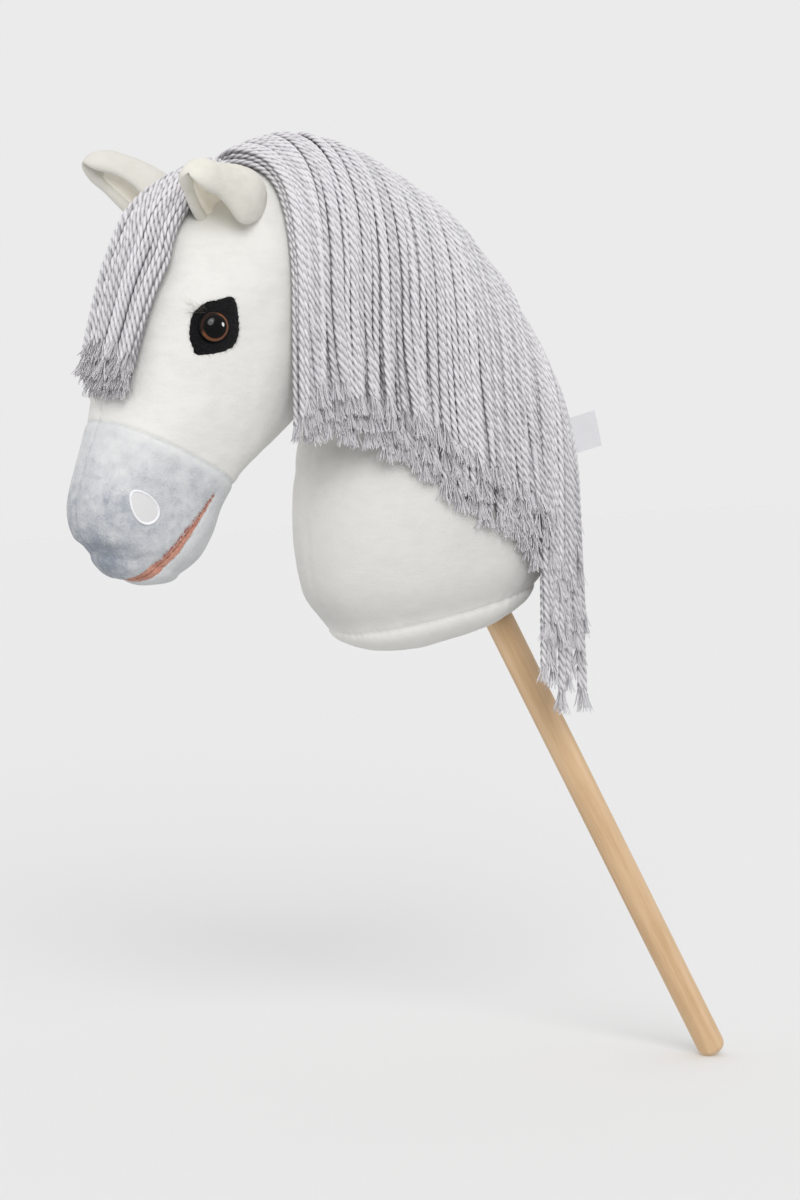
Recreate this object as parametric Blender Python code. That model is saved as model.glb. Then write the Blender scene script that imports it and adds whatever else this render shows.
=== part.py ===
"""Hobby horse: a stuffed plush head and neck with a cord mane, on a round wooden pole.

Frame: metres, +Z up. The origin is the centre of the pole's foot. The horse looks
along -X, its left side is -Y, and the plane Y = 0 is the seam between its two halves.
The pole leans back, so that the head sits upright and the mane hangs straight down.

The head and neck are one body, lofted through sections that fan round the throat.
Every panel, patch and tape is cut from that same surface, as a sewing pattern is.
Pieces that touch keep GAP between them.
"""

import math

import bmesh
import bpy
import numpy as np
from mathutils import Vector
from mathutils.bvhtree import BVHTree

MM = 0.001
GAP = 0.3 * MM

# Pole
POLE_DIAMETER = 25 * MM
POLE_LENGTH = 800 * MM
POLE_TILT = math.radians(30.6)
POLE_END_ROUND = 8 * MM
POLE_INSIDE = 328 * MM
POCKET_WALL = 2 * MM
POCKET_INSET = 4 * MM

# Head and neck: from the neck's base to the chin, each section runs from the throat side
# to the crest side. Columns, in millimetres: throat x, throat z, crest x, crest z, half width.
SECTIONS = (
    (-404, 397, -216, 440, 65),
    (-426, 434, -190, 466, 76),
    (-434, 486, -178, 508, 80),
    (-433, 530, -179, 556, 80),
    (-430, 560, -192, 604, 78),
    (-431, 577, -222, 655, 75),
    (-437, 584, -266, 704, 73),
    (-443, 587, -328, 754, 71),
    (-449, 586, -404, 785, 70),
    (-455, 583, -477, 792, 70),
    (-462, 577, -540, 774, 72),
    (-471, 569, -585, 745, 73),
    (-485, 559, -606, 704, 72),
    (-499, 549, -618, 655, 68),
    (-510, 539, -627, 605, 61),
    (-518, 526, -633, 583, 56),
    (-528, 509, -646, 547, 52),
    (-535, 490, -654, 515, 49),
    (-548, 470, -649, 490, 44),
    (-566, 457, -634, 475, 34),
)
LAST = len(SECTIONS) - 1
FULLNESS = 2.3
BASE_DOME = 31 * MM
CHIN_DOME = 14 * MM
SEGMENTS = 24
RINGS_PER_SECTION = 2
DOME_ROWS = (0.3, 0.55, 0.8)
SEAM_GAP = 0.01
CREST_FIRST, CREST_LAST = 2.7, 9.4
POLL = 9.6
MUZZLE_SEAM = 15
PLUSH = 2.5 * MM
FILLING_GAP = 0.9 * MM
PANEL_GAP = GAP / 2

# Mouth: the jaw's hinge line, the corner and the front of the slit, as x, z
JAW_HINGE = (-517 * MM, 526 * MM)
MOUTH_CORNER = (-551 * MM, 518 * MM)
MOUTH_FRONT = (-604 * MM, 452 * MM)
MOUTH_GAP = 11 * MM
LINING = 1.2 * MM
LINING_INSET = 0.6 * MM

# Eyes and nostrils, placed as x, z on the side of the head
EYE = (-565 * MM, 660 * MM)
EYE_DIAMETER = 25 * MM
EYE_HEIGHT = 9 * MM
EYE_SEAT = 2.1 * MM
SHANK_DIAMETER = 6 * MM
SHANK_LENGTH = 14 * MM
WASHER_DIAMETER = 20 * MM
WASHER = 1.6 * MM
WASHER_DEPTH = 4.6 * MM
FELT = 1.2 * MM
FELT_CORNERS = (
    (16, 20), (20, 2), (18, -12), (9, -20), (-13, -24), (-18, -17), (-20, -6), (-17, 7), (-8, 15), (4, 19),
)
NOSTRIL = (-618 * MM, 516 * MM)
NOSTRIL_SIZE = (19 * MM, 32 * MM)
NOSTRIL_TURN = math.radians(28)
STITCHING = 1.8 * MM

# Ears: cones of plush that lean forward, open at the front and below
EAR_BASE = {"left": (-533 * MM, 48 * MM, 751 * MM), "right": (-537 * MM, 52 * MM, 747 * MM)}
EAR_TIP = {"left": (-598 * MM, 86 * MM, 781 * MM), "right": (-594 * MM, 86 * MM, 791 * MM)}
EAR_BACK = (0.40, 0.0, 0.92)
# Each ear was folded by hand, so the two differ: depths, widths, and how many degrees the
# plush wraps round towards the horse's middle and round the outside.
EAR_SECTIONS = {
    "left": (
        (34, 15, 178, 150), (37, 18, 140, 125), (33, 21, 104, 98),
        (27, 18, 94, 88), (19, 14, 90, 85), (11, 8, 88, 85),
    ),
    "right": (
        (18, 20, 178, 160), (25, 23, 150, 135), (29, 22, 104, 120),
        (28, 18, 92, 112), (22, 14, 88, 104), (13, 8, 88, 95),
    ),
}
EAR_ROOT = -0.35
EAR_PLUSH = 4.5 * MM
EAR_LINING = 2.4 * MM
EAR_LINING_SPACE = 1.5 * MM
EAR_LINING_SHORT = 6
EAR_SHORT_ALONG = 0.0025
EAR_STEPS = 16
EAR_TIP_SHRINK, EAR_TIP_REACH = 0.55, 0.05
EAR_HINGE = 42 * MM
EAR_LEAST = 0.6 * MM

# Mane, forelock and label
MANE_EDGES = (-497, -457, -417, -377, -337, -297, -257, -213, -177)
MANE_LENGTHS = (
    (262, 262), (276, 276), (284, 288), (296, 304), (306, 300), (292, 288), (400, 352), (338, 262),
)
MANE_ROOT_END = -184 * MM
# How far forward of where it hangs the front lock is sewn on, at its front and rear edge.
MANE_SWEEPS = {0: (-12 * MM, 0.0)}
MANE_SWEEP_REACH = 0.28
MANE_FLARE = 14 * MM
MANE_THICKNESS = 13 * MM
LOCK_POINTS = 18
MANE_OVERLAP = 7 * MM
LOCK_SPACE = 0.6 * MM
LOCK_CLEARANCE = 3.4 * MM
STEEPEST = 0.33
TAPE_WIDTH = 12 * MM
TAPE = 1.5 * MM
FORELOCK_ROWS = (POLL, 13.95)
FORELOCK_TURNS = ((-0.22, 0.30), (-0.12, 0.62), (-0.12, 0.64))
FORELOCK_THICKNESS = (6 * MM, 12 * MM)
FORELOCK_FLARE = 5 * MM
LABEL_SIZE = (50 * MM, 32 * MM)
LABEL_THICKNESS = 0.8 * MM
LABEL_ROOT = (-171.5 * MM, 537 * MM)
LABEL_RISE = math.radians(14)
LABEL_SIDE = 9 * MM

LEFT, RIGHT = -1, 1
SIDES = ((LEFT, "left"), (RIGHT, "right"))

PLUSH_WHITE = (0.80, 0.79, 0.76)
PLUSH_GREY = (0.58, 0.61, 0.65)
CREAM = (0.74, 0.71, 0.64)
FILLING = (0.90, 0.90, 0.88)
WOOD = (0.65, 0.45, 0.25)
CORAL = (0.68, 0.25, 0.20)
CORD_GREY = (0.50, 0.48, 0.50)
BLACK_FELT = (0.012, 0.012, 0.013)
SATIN = (0.86, 0.86, 0.87)
NYLON = (0.55, 0.55, 0.55)
EYE_BROWN = (0.10, 0.045, 0.02)


# Scene and mesh helpers

def clear_scene():
    for item in list(bpy.data.objects):
        bpy.data.objects.remove(item, do_unlink=True)


def material(name, colour, roughness):
    finish = bpy.data.materials.new(name)
    finish.use_nodes = True
    shader = finish.node_tree.nodes["Principled BSDF"]
    shader.inputs["Base Color"].default_value = (*colour, 1.0)
    shader.inputs["Roughness"].default_value = roughness
    shader.inputs["Metallic"].default_value = 0.0
    return finish


def add_object(name, mesh, colour, roughness=0.9):
    item = bpy.data.objects.new(name, mesh)
    bpy.context.scene.collection.objects.link(item)
    mesh.materials.append(material(name, colour, roughness))
    return item


def hang_on(item, pivot_name, pivot):
    """Parents a moving piece to an empty on its joint's axis."""
    empty = bpy.data.objects.get(pivot_name)
    if empty is None:
        empty = bpy.data.objects.new(pivot_name, None)
        empty.location = Vector(pivot)
        bpy.context.scene.collection.objects.link(empty)
    item.parent = empty
    item.location = -Vector(empty.location)


def cutter(name, mesh):
    item = bpy.data.objects.new(name, mesh)
    bpy.context.scene.collection.objects.link(item)
    item.hide_render = True
    item.display_type = "WIRE"
    return item


def boolean(item, tool, operation="DIFFERENCE"):
    change = item.modifiers.new(tool.name, "BOOLEAN")
    change.operation = operation
    change.solver = "EXACT"
    change.object = tool


def mesh_from(name, points, faces):
    """A closed mesh with its faces pointing out, shaded smooth up to 40 degrees."""
    mesh = bpy.data.meshes.new(name)
    mesh.from_pydata([tuple(p) for p in points], [], faces)
    form = bmesh.new()
    form.from_mesh(mesh)
    bmesh.ops.recalc_face_normals(form, faces=form.faces)
    form.to_mesh(mesh)
    form.free()
    mesh.shade_smooth()
    mesh.set_sharp_from_angle(angle=math.radians(40))
    return mesh


def grid_faces(rows, columns, start=0, wrap=False):
    faces = []
    for r in range(rows - 1):
        for c in range(columns if wrap else columns - 1):
            low, high = start + r * columns, start + (r + 1) * columns
            after = (c + 1) % columns
            faces.append([low + c, low + after, high + after, high + c])
    return faces


def thick_sheet(name, outer, inner):
    """A closed solid between two open grids of points."""
    rows, columns = len(outer), len(outer[0])
    size = rows * columns
    points = [p for grid in (outer, inner) for row in grid for p in row]
    faces = grid_faces(rows, columns) + [face[::-1] for face in grid_faces(rows, columns, size)]
    edge = list(range(columns))
    edge += [r * columns + columns - 1 for r in range(1, rows)]
    edge += [(rows - 1) * columns + c for c in range(columns - 2, -1, -1)]
    edge += [r * columns for r in range(rows - 2, 0, -1)]
    for a, b in zip(edge, edge[1:] + edge[:1]):
        faces.append([b, a, a + size, b + size])
    return mesh_from(name, points, faces)


def prism(name, outline, half_width):
    """A cutter: an outline of x, z points, run from -Y to +Y."""
    count = len(outline)
    points = [(x, y, z) for y in (-half_width, half_width) for x, z in outline]
    faces = [list(range(count)), list(range(2 * count - 1, count - 1, -1))]
    for k in range(count):
        after = (k + 1) % count
        faces.append([after, k, k + count, after + count])
    return cutter(name, mesh_from(name, points, faces))


def turned(name, profile, start, axis, segments=32):
    """A solid turned round an axis. The profile's points are (distance along the axis, radius)."""
    axis = Vector(axis).normalized()
    across = axis.orthogonal().normalized()
    beside = axis.cross(across)
    rings, points, faces = [], [], []
    for along, radius in profile:
        centre = Vector(start) + axis * along
        first = len(points)
        if radius == 0:
            rings.append([first])
            points.append(centre)
            continue
        rings.append(list(range(first, first + segments)))
        for k in range(segments):
            angle = 2 * math.pi * k / segments
            points.append(centre + (across * math.cos(angle) + beside * math.sin(angle)) * radius)
    for low, high in zip(rings, rings[1:]):
        for k in range(segments):
            after = (k + 1) % segments
            corners = [ring[i % len(ring)] for ring, i in ((low, k), (low, after), (high, after), (high, k))]
            faces.append(list(dict.fromkeys(corners)))
    for ring in (rings[0], rings[-1]):
        if len(ring) > 1:
            faces.append(ring)
    return mesh_from(name, points, faces)


def smooth_loop(corners, steps):
    """A closed curve through the corners, with this many points from each one to the next."""
    corners = np.array(corners, float)
    count = len(corners)
    points = []
    for i in range(count):
        p0, p1, p2, p3 = (corners[(i + k) % count] for k in (-1, 0, 1, 2))
        for step in range(steps):
            t = step / steps
            points.append(p1 + (p2 - p0) * t / 2 + (p0 - 2.5 * p1 + 2 * p2 - p3 / 2) * t**2
                          + (1.5 * p1 - p0 / 2 - 1.5 * p2 + p3 / 2) * t**3)
    return points


# The body's surface

def section_at(v):
    """The section at v, a row number of SECTIONS that may lie between two rows."""
    rows = np.array(SECTIONS, float) * MM
    i = int(min(max(math.floor(v), 0), LAST - 1))
    t = v - i
    before, start, end, after = (rows[min(max(k, 0), LAST)] for k in (i - 1, i, i + 1, i + 2))
    slope_in = (end - before) / 2
    slope_out = (after - start) / 2
    return ((2 * t**3 - 3 * t**2 + 1) * start + (t**3 - 2 * t**2 + t) * slope_in
            + (3 * t**2 - 2 * t**3) * end + (t**3 - t**2) * slope_out)


def surface(u, v):
    """A point of the plush surface. u turns from the crest (0) over the left side to the
    throat (pi). v runs from the base to the chin, and one unit beyond each end is a dome."""
    beyond = max(-v, v - LAST, 0.0) * math.pi / 2
    row = section_at(min(max(v, 0.0), LAST))
    throat = np.array((row[0], 0.0, row[1]))
    crest = np.array((row[2], 0.0, row[3]))
    middle, reach, width = (crest + throat) / 2, (crest - throat) / 2, row[4]
    if beyond > 0:
        outward = np.array((reach[2], 0.0, -reach[0])) / np.linalg.norm(reach)
        outward *= -math.copysign(1.0, outward[2])
        height = BASE_DOME if v < 0 else CHIN_DOME
        middle = middle + outward * height * math.sin(beyond)
        reach, width = reach * math.cos(beyond), width * math.cos(beyond)
    power = 2 / FULLNESS
    along = math.copysign(abs(math.cos(u)) ** power, math.cos(u))
    across = math.copysign(abs(math.sin(u)) ** power, math.sin(u))
    return middle + reach * along - np.array((0.0, width * across, 0.0))


def skin_at(u, v, offset):
    """A point of the surface, moved along the surface's outward normal."""
    step = 0.02
    du = surface(u + step, v) - surface(u - step, v)
    dv = surface(u, v + step) - surface(u, v - step)
    out = np.cross(dv, du)
    return surface(u, v) + out / np.linalg.norm(out) * offset


def dome_middle(v, offset):
    """The middle of the base's dome (v = -1) or of the chin's dome (v = LAST + 1)."""
    before = surface(0.0, v - 0.1 if v > 0 else v + 0.1)
    behind = surface(math.pi, v - 0.1 if v > 0 else v + 0.1)
    outward = surface(0.0, v) - (before + behind) / 2
    return surface(0.0, v) + outward / np.linalg.norm(outward) * offset


def rows_between(first, last, per_section=RINGS_PER_SECTION):
    count = max(1, round((last - first) * per_section))
    return list(np.linspace(first, last, count + 1))


def body_mesh(name, offset, segments=SEGMENTS, per_section=RINGS_PER_SECTION):
    """The whole head and neck as one closed solid, offset from the plush surface."""
    rows = [-row for row in DOME_ROWS[::-1]] + rows_between(0, LAST, per_section)
    rows += [LAST + row for row in DOME_ROWS]
    points = [skin_at(2 * math.pi * k / segments, v, offset) for v in rows for k in range(segments)]
    faces = grid_faces(len(rows), segments, wrap=True)
    top = (len(rows) - 1) * segments
    points += [dome_middle(-1.0, offset), dome_middle(LAST + 1.0, offset)]
    for k in range(segments):
        after = (k + 1) % segments
        faces.append([after, k, len(points) - 2])
        faces.append([top + k, top + after, len(points) - 1])
    return mesh_from(name, points, faces)


class Skin:
    """A fine copy of the body, which rays are sent against to place what lies on it."""

    def __init__(self):
        mesh = body_mesh("fine_skin", 0.0, segments=96, per_section=5)
        self.tree = BVHTree.FromPolygons([v.co.copy() for v in mesh.vertices],
                                         [list(p.vertices) for p in mesh.polygons])
        bpy.data.meshes.remove(mesh)

    def towards(self, start, direction):
        """The first surface point along a ray and the outward normal there, or None."""
        hit, out, _, _ = self.tree.ray_cast(Vector(start), Vector(direction).normalized())
        return None if hit is None else (hit, out)

    def side(self, x, z, side):
        return self.towards((x, side * 0.3, z), (0, -side, 0))


# Plush panels and their filling

def panel(name, side, rows, colour):
    """The left or right half of a stretch of plush, kept clear of the centre seam."""
    half = SEGMENTS // 2
    grids = []
    for offset in (0.0, -PLUSH):
        grid = []
        for v in rows:
            line = [skin_at(math.pi * k / half, v, offset) for k in range(half + 1)]
            for point in line:
                point[1] = side * max(-point[1], PANEL_GAP)
            grid.append(line)
        grids.append(grid)
    return add_object(name, thick_sheet(name, *grids), colour)


def make_base_panel():
    """The domed panel that closes the neck, with the hole that the pole goes in through."""
    rows = [-SEAM_GAP] + [-row for row in DOME_ROWS]
    points, faces = [], []
    for offset in (0.0, -PLUSH):
        start = len(points)
        points += [skin_at(2 * math.pi * k / SEGMENTS, v, offset) for v in rows for k in range(SEGMENTS)]
        points.append(dome_middle(-1.0, offset))
        tip, last_ring = len(points) - 1, len(points) - 1 - SEGMENTS
        layer = grid_faces(len(rows), SEGMENTS, start, wrap=True)
        layer += [[last_ring + k, last_ring + (k + 1) % SEGMENTS, tip] for k in range(SEGMENTS)]
        faces += layer if offset == 0 else [face[::-1] for face in layer]
    size = len(points) // 2
    faces += [[(k + 1) % SEGMENTS, k, k + size, (k + 1) % SEGMENTS + size] for k in range(SEGMENTS)]
    return add_object("neck_base_panel", mesh_from("neck_base_panel", points, faces), PLUSH_WHITE)


# Pole and the pocket that it slides into

def pole_axis():
    return np.array((-math.sin(POLE_TILT), 0.0, math.cos(POLE_TILT)))


def make_pole():
    radius = POLE_DIAMETER / 2
    foot = []
    for k in range(4):
        angle = k * math.pi / 6
        inward = POLE_END_ROUND * (1 - math.cos(angle))
        foot.append((POLE_END_ROUND * (1 - math.sin(angle)), radius - inward))
    foot.reverse()
    head = [(POLE_LENGTH - along, width) for along, width in reversed(foot)]
    add_object("pole", turned("pole", foot + head, (0, 0, 0), pole_axis()), WOOD, 0.55)


def make_pocket():
    """A blind sleeve in the neck: its mouth is at the base panel, its end over the pole."""
    bore = POLE_DIAMETER / 2 + GAP
    wall = bore + POCKET_WALL
    mouth, end = POLE_LENGTH - POLE_INSIDE + POCKET_INSET, POLE_LENGTH + GAP
    profile = [(end, 0), (end, bore), (mouth, bore), (mouth, wall)]
    profile += [(end + POCKET_WALL, wall), (end + POCKET_WALL, 0)]
    add_object("pole_pocket", turned("pole_pocket", profile, (0, 0, 0), pole_axis()), FILLING)


def pocket_space():
    radius = POLE_DIAMETER / 2 + POCKET_WALL + 2 * GAP
    start = POLE_LENGTH - POLE_INSIDE - 60 * MM
    end = POLE_LENGTH + POCKET_WALL + 2 * GAP
    space = turned("pocket_space", [(start, radius), (end, radius)], (0, 0, 0), pole_axis())
    return cutter("pocket_space", space)


# Mouth

def slit_point(along, side, depth=0.0):
    """A point of the slit's upper (side 1) or lower (side -1) face. along is 0 at the corner
    and 1 at the front, and depth goes from the face into the open mouth."""
    corner, front = np.array(MOUTH_CORNER), np.array(MOUTH_FRONT)
    run = front - corner
    upward = np.array((run[1], -run[0])) / np.linalg.norm(run)
    opening = upward * (MOUTH_GAP / 2 * along - depth) + np.array((0.0, GAP / 2))
    return corner + run * along + side * opening


def mouth_outline(side):
    """All that lies below one face of the slit, from the jaw's hinge line to beyond the chin."""
    hinge = np.array(JAW_HINGE) + np.array((0.0, side * GAP / 2))
    beyond = hinge + np.array((60 * MM, 0.0))
    return [hinge, slit_point(0, side), slit_point(1.5, side),
            (-620 * MM, 380 * MM), (-480 * MM, 400 * MM), beyond]


def make_mouth():
    below_slit = prism("below_slit", mouth_outline(1), 100 * MM)
    jaw_space = prism("jaw_space", mouth_outline(-1), 100 * MM)
    inside = cutter("inside_of_jaw", body_mesh("inside_of_jaw", -PLUSH))
    jaw = add_object("jaw_panel", body_mesh("jaw_panel", 0.0), PLUSH_GREY)
    boolean(jaw, jaw_space, "INTERSECT")
    boolean(jaw, inside)
    filling = add_object("jaw_stuffing", body_mesh("jaw_stuffing", -PLUSH - FILLING_GAP), FILLING)
    boolean(filling, jaw_space, "INTERSECT")
    moving = [jaw, filling]
    for side, name in ((1, "mouth_lining_upper"), (-1, "mouth_lining_lower")):
        back, front = 0.12, 1.5
        thin = LINING * 0.25
        outline = [slit_point(back, side, GAP), slit_point(front, side, GAP),
                   slit_point(front, side, GAP + LINING), slit_point(back, side, GAP + thin)]
        lining = add_object(name, body_mesh(name, -LINING_INSET), CORAL)
        boolean(lining, prism(name + "_slab", outline, 90 * MM), "INTERSECT")
        if side < 0:
            moving.append(lining)
    for item in moving:
        hang_on(item, "jaw_pivot", (JAW_HINGE[0], 0.0, JAW_HINGE[1]))
    return below_slit


# Eyes, felt patches and nostrils

def surface_patch(name, skin, side, centre, rings, heights, colour):
    """A thin piece on the side of the head. The rings are outlines of x, z points from the
    inside out, and heights gives each ring's lower and upper distance from the plush."""
    count = len(rings[0])
    points, faces = [], []
    for layer in (1, 0):
        start = len(points)
        for ring, height in zip([[centre]] + rings, [heights[0]] + heights):
            for x, z in ring:
                hit, out = skin.side(x, z, side)
                points.append(hit + out * height[layer])
        for k in range(count):
            after = (k + 1) % count
            web = [[start, start + 1 + k, start + 1 + after]]
            for r in range(len(rings) - 1):
                low, high = start + 1 + r * count, start + 1 + (r + 1) * count
                web.append([low + k, high + k, high + after, low + after])
            faces += web if layer == 1 else [face[::-1] for face in web]
    size = len(points) // 2
    rim = 1 + (len(rings) - 1) * count
    for k in range(count):
        here, after = rim + k, rim + (k + 1) % count
        faces.append([here, here + size, after + size, after])
    return add_object(name, mesh_from(name, points, faces), colour)


def make_eye(skin, side, word):
    """A domed plastic eye on a felt patch. Its shank goes through the plush to a washer."""
    outline = [np.array(EYE) + np.array(point) * MM for point in smooth_loop(FELT_CORNERS, 2)]
    rings = [[np.array(EYE) + (point - np.array(EYE)) * size for point in outline] for size in (0.5, 1.0)]
    felt = surface_patch("eye_patch_" + word, skin, side, EYE, rings, [(GAP, GAP + FELT)] * 2, BLACK_FELT)
    seat, out = skin.side(*EYE, side)
    radius = EYE_DIAMETER / 2
    dome = []
    for k in range(7):
        angle = k * math.pi / 12
        dome.append((EYE_SEAT + 1 * MM + (EYE_HEIGHT - 1 * MM) * math.sin(angle), radius * math.cos(angle)))
    dome[-1] = (EYE_SEAT + EYE_HEIGHT, 0)
    thin = SHANK_DIAMETER / 2
    shank = [(EYE_SEAT - SHANK_LENGTH, thin), (EYE_SEAT, thin), (EYE_SEAT, radius)]
    add_object("eye_" + word, turned("eye_" + word, shank + dome, seat, out, 24), EYE_BROWN, 0.08)
    bore, disc = SHANK_DIAMETER / 2 + GAP, WASHER_DIAMETER / 2
    near, far = -WASHER_DEPTH, -WASHER_DEPTH - WASHER
    washer = [(near, bore), (near, disc), (far, disc), (far, bore)]
    add_object("eye_washer_" + word, turned_ring("eye_washer_" + word, washer, seat, out), NYLON, 0.5)
    hole = cutter("shank_space_" + word,
                  turned("shank_space_" + word, [(5 * MM, bore), (-SHANK_LENGTH, bore)], seat, out, 24))
    boolean(felt, hole)
    deep = WASHER_DEPTH + WASHER + GAP
    space = [(5 * MM, disc + GAP), (-deep, disc + GAP), (-deep, bore), (-SHANK_LENGTH - GAP, bore)]
    return hole, cutter("washer_space_" + word, turned("washer_space_" + word, space, seat, out, 24))


def turned_ring(name, profile, start, axis, segments=24):
    """A ring turned round an axis from a closed profile that stays clear of it."""
    axis = Vector(axis).normalized()
    across = axis.orthogonal().normalized()
    beside = axis.cross(across)
    points, faces = [], []
    count = len(profile)
    for k in range(segments):
        angle = 2 * math.pi * k / segments
        outward = across * math.cos(angle) + beside * math.sin(angle)
        points += [Vector(start) + axis * along + outward * radius for along, radius in profile]
        low, high = k * count, (k + 1) % segments * count
        faces += [[low + i, low + (i + 1) % count, high + (i + 1) % count, high + i] for i in range(count)]
    return mesh_from(name, points, faces)


def make_nostril(skin, side, word):
    """An oval of pale cloth inside a raised ring of satin stitching."""
    rings = []
    width, height = NOSTRIL_SIZE[0] / 2, NOSTRIL_SIZE[1] / 2
    for size in (0.80, 0.90, 1.0):
        ring = []
        for k in range(20):
            angle = 2 * math.pi * k / 20
            egg = 1 - 0.15 * math.sin(angle)
            a, b = width * size * math.cos(angle) * egg, height * size * math.sin(angle)
            x = a * math.cos(NOSTRIL_TURN) - b * math.sin(NOSTRIL_TURN)
            z = a * math.sin(NOSTRIL_TURN) + b * math.cos(NOSTRIL_TURN)
            ring.append((NOSTRIL[0] + x, NOSTRIL[1] + z))
        rings.append(ring)
    cloth, thread = (GAP, GAP + 0.7 * MM), (GAP, GAP + STITCHING)
    surface_patch("nostril_" + word, skin, side, NOSTRIL, rings, [cloth, thread, cloth], SATIN)


# Ears

def make_ear(skin, side, word, around_head):
    """A cone of plush with a lining: each section is an arc round the back of the ear."""
    base = np.array(EAR_BASE[word]) * (1, side, 1)
    tip = np.array(EAR_TIP[word]) * (1, side, 1)
    _, out = skin.towards(base + (0, side * 0.1, 0.1), (0, -side, -1))
    length = np.linalg.norm(tip - base)
    forward = (tip - base) / length
    back = np.array(EAR_BACK)
    back = back - forward * np.dot(back, forward)
    back /= np.linalg.norm(back)
    across = np.cross(forward, back)
    across *= math.copysign(1.0, across[1] * side)
    sections = EAR_SECTIONS[word]
    count = len(sections)

    def grid(inset, short, last_row):
        """Rows of points from root to tip, this far inside the ear's outline. short is how many
        degrees each edge stays back."""
        rows = []
        for r in range(last_row + 1):
            k = min(r, count - 1)
            along = EAR_ROOT + (1 - EAR_ROOT) * k / (count - 1)
            shrink = 1.0
            if r == count:
                along += EAR_TIP_REACH
                shrink = EAR_TIP_SHRINK
            depth, width, inner, outer = sections[k]
            depth = max(depth * MM * shrink - inset, EAR_LEAST)
            width = max(width * MM * shrink - inset, EAR_LEAST)
            first, last = math.radians(short - inner), math.radians(outer - short)
            centre = base + forward * length * (along - short * EAR_SHORT_ALONG)
            row = []
            for step in range(EAR_STEPS + 1):
                angle = first + (last - first) * step / EAR_STEPS
                row.append(centre + back * depth * math.cos(angle) + across * width * math.sin(angle))
            rows.append(row)
        return rows

    plush = thick_sheet("ear_" + word, grid(0, 0, count), grid(EAR_PLUSH, 0, count))
    outer = add_object("ear_" + word, plush, PLUSH_WHITE)
    inset, short = EAR_PLUSH + EAR_LINING_SPACE, EAR_LINING_SHORT
    name, last_row = "ear_lining_" + word, count - 1
    lining = thick_sheet(name, grid(inset, short, last_row), grid(inset + EAR_LINING, short, last_row))
    inner = add_object(name, lining, CREAM)
    slope = np.cross(np.array(out), (0.0, 1.0, 0.0))
    slope *= -math.copysign(1.0, slope[0]) / np.linalg.norm(slope)
    pivot = base - slope * EAR_HINGE
    axis = np.cross(slope, np.array(out))
    print("ear", word, "pivot", pivot.round(4), "axis", axis.round(4))
    for item in (outer, inner):
        boolean(item, around_head)
        hang_on(item, "ear_pivot_" + word, pivot)


# Mane, forelock and label

def strip(name, turns_at, rows, lower, upper, colour, columns=4):
    """A strip of the surface: turns_at gives the two edges, lower and upper the distances."""
    grids = []
    for height in (upper, lower):
        grid = []
        for v in rows:
            turns = np.linspace(*turns_at(v), columns + 1)
            grid.append([skin_at(turn, v, height(v)) for turn in turns])
        grids.append(grid)
    return add_object(name, thick_sheet(name, *grids), colour)


def make_tapes():
    """The cotton tapes that the cords are sewn to: along the crest and across the poll."""
    def crest_turns(v):
        reach = (TAPE_WIDTH / 2 / section_at(v)[4]) ** (FULLNESS / 2)
        return -reach, reach

    def low(_):
        return GAP * 2

    def high(_):
        return GAP * 2 + TAPE

    strip("mane_tape", crest_turns, rows_between(CREST_FIRST, CREST_LAST, 3), low, high, NYLON, 2)
    strip("forelock_tape", lambda v: (-0.3, 0.3), rows_between(POLL, POLL + 0.35, 6), low, high, NYLON, 6)


def lock_path(skin, x, length):
    """The line that a cord takes at this x: from beyond the crest over the left side, then
    straight down from where the side is widest. It gives points (y, z), their normals, and
    how far the lock's inner face stays off them: further where the crest slopes steeply."""
    top, _ = skin.towards((x, 0, 1.5), (0, 0, -1))
    middle = np.array((0.0, top.z - 45 * MM))
    path = []
    for degrees in range(82, 361, 6):
        direction = np.array((math.cos(math.radians(degrees)), math.sin(math.radians(degrees))))
        if degrees > 180:
            break
        start = middle + direction * 0.3
        hit = skin.towards((x, start[0], start[1]), (0, -direction[0], -direction[1]))
        if hit is not None:
            level = max(STEEPEST, math.hypot(hit[1].y, hit[1].z))
            path.append((hit[0].y, hit[0].z, LOCK_CLEARANCE / level))
    widest, z, spacing = min(p[0] for p in path), path[-1][1], path[-1][2]
    while z > path[0][1] - 1.3 * length:
        z -= 6 * MM
        hit = skin.side(x, z, LEFT)
        if hit is not None:
            widest = min(widest, hit[0].y)
        spacing += (LOCK_CLEARANCE - spacing) * 0.1
        path.append((widest, z, spacing))
    path = np.array(path)
    steps = np.linalg.norm(np.diff(path[:, :2], axis=0), axis=1)
    reach = np.concatenate([[0.0], np.cumsum(steps)])
    start = np.interp(-MANE_OVERLAP, -path[:8, 0], reach[:8])
    places = start + np.linspace(0, length, LOCK_POINTS)
    line = np.column_stack([np.interp(places, reach, path[:, k]) for k in range(3)])
    line, spacings = line[:, :2], line[:, 2]
    run = np.gradient(line, axis=0)
    normals = np.column_stack([run[:, 1], -run[:, 0]])
    normals /= np.linalg.norm(normals, axis=1)[:, None]
    return line, normals, spacings


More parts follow.
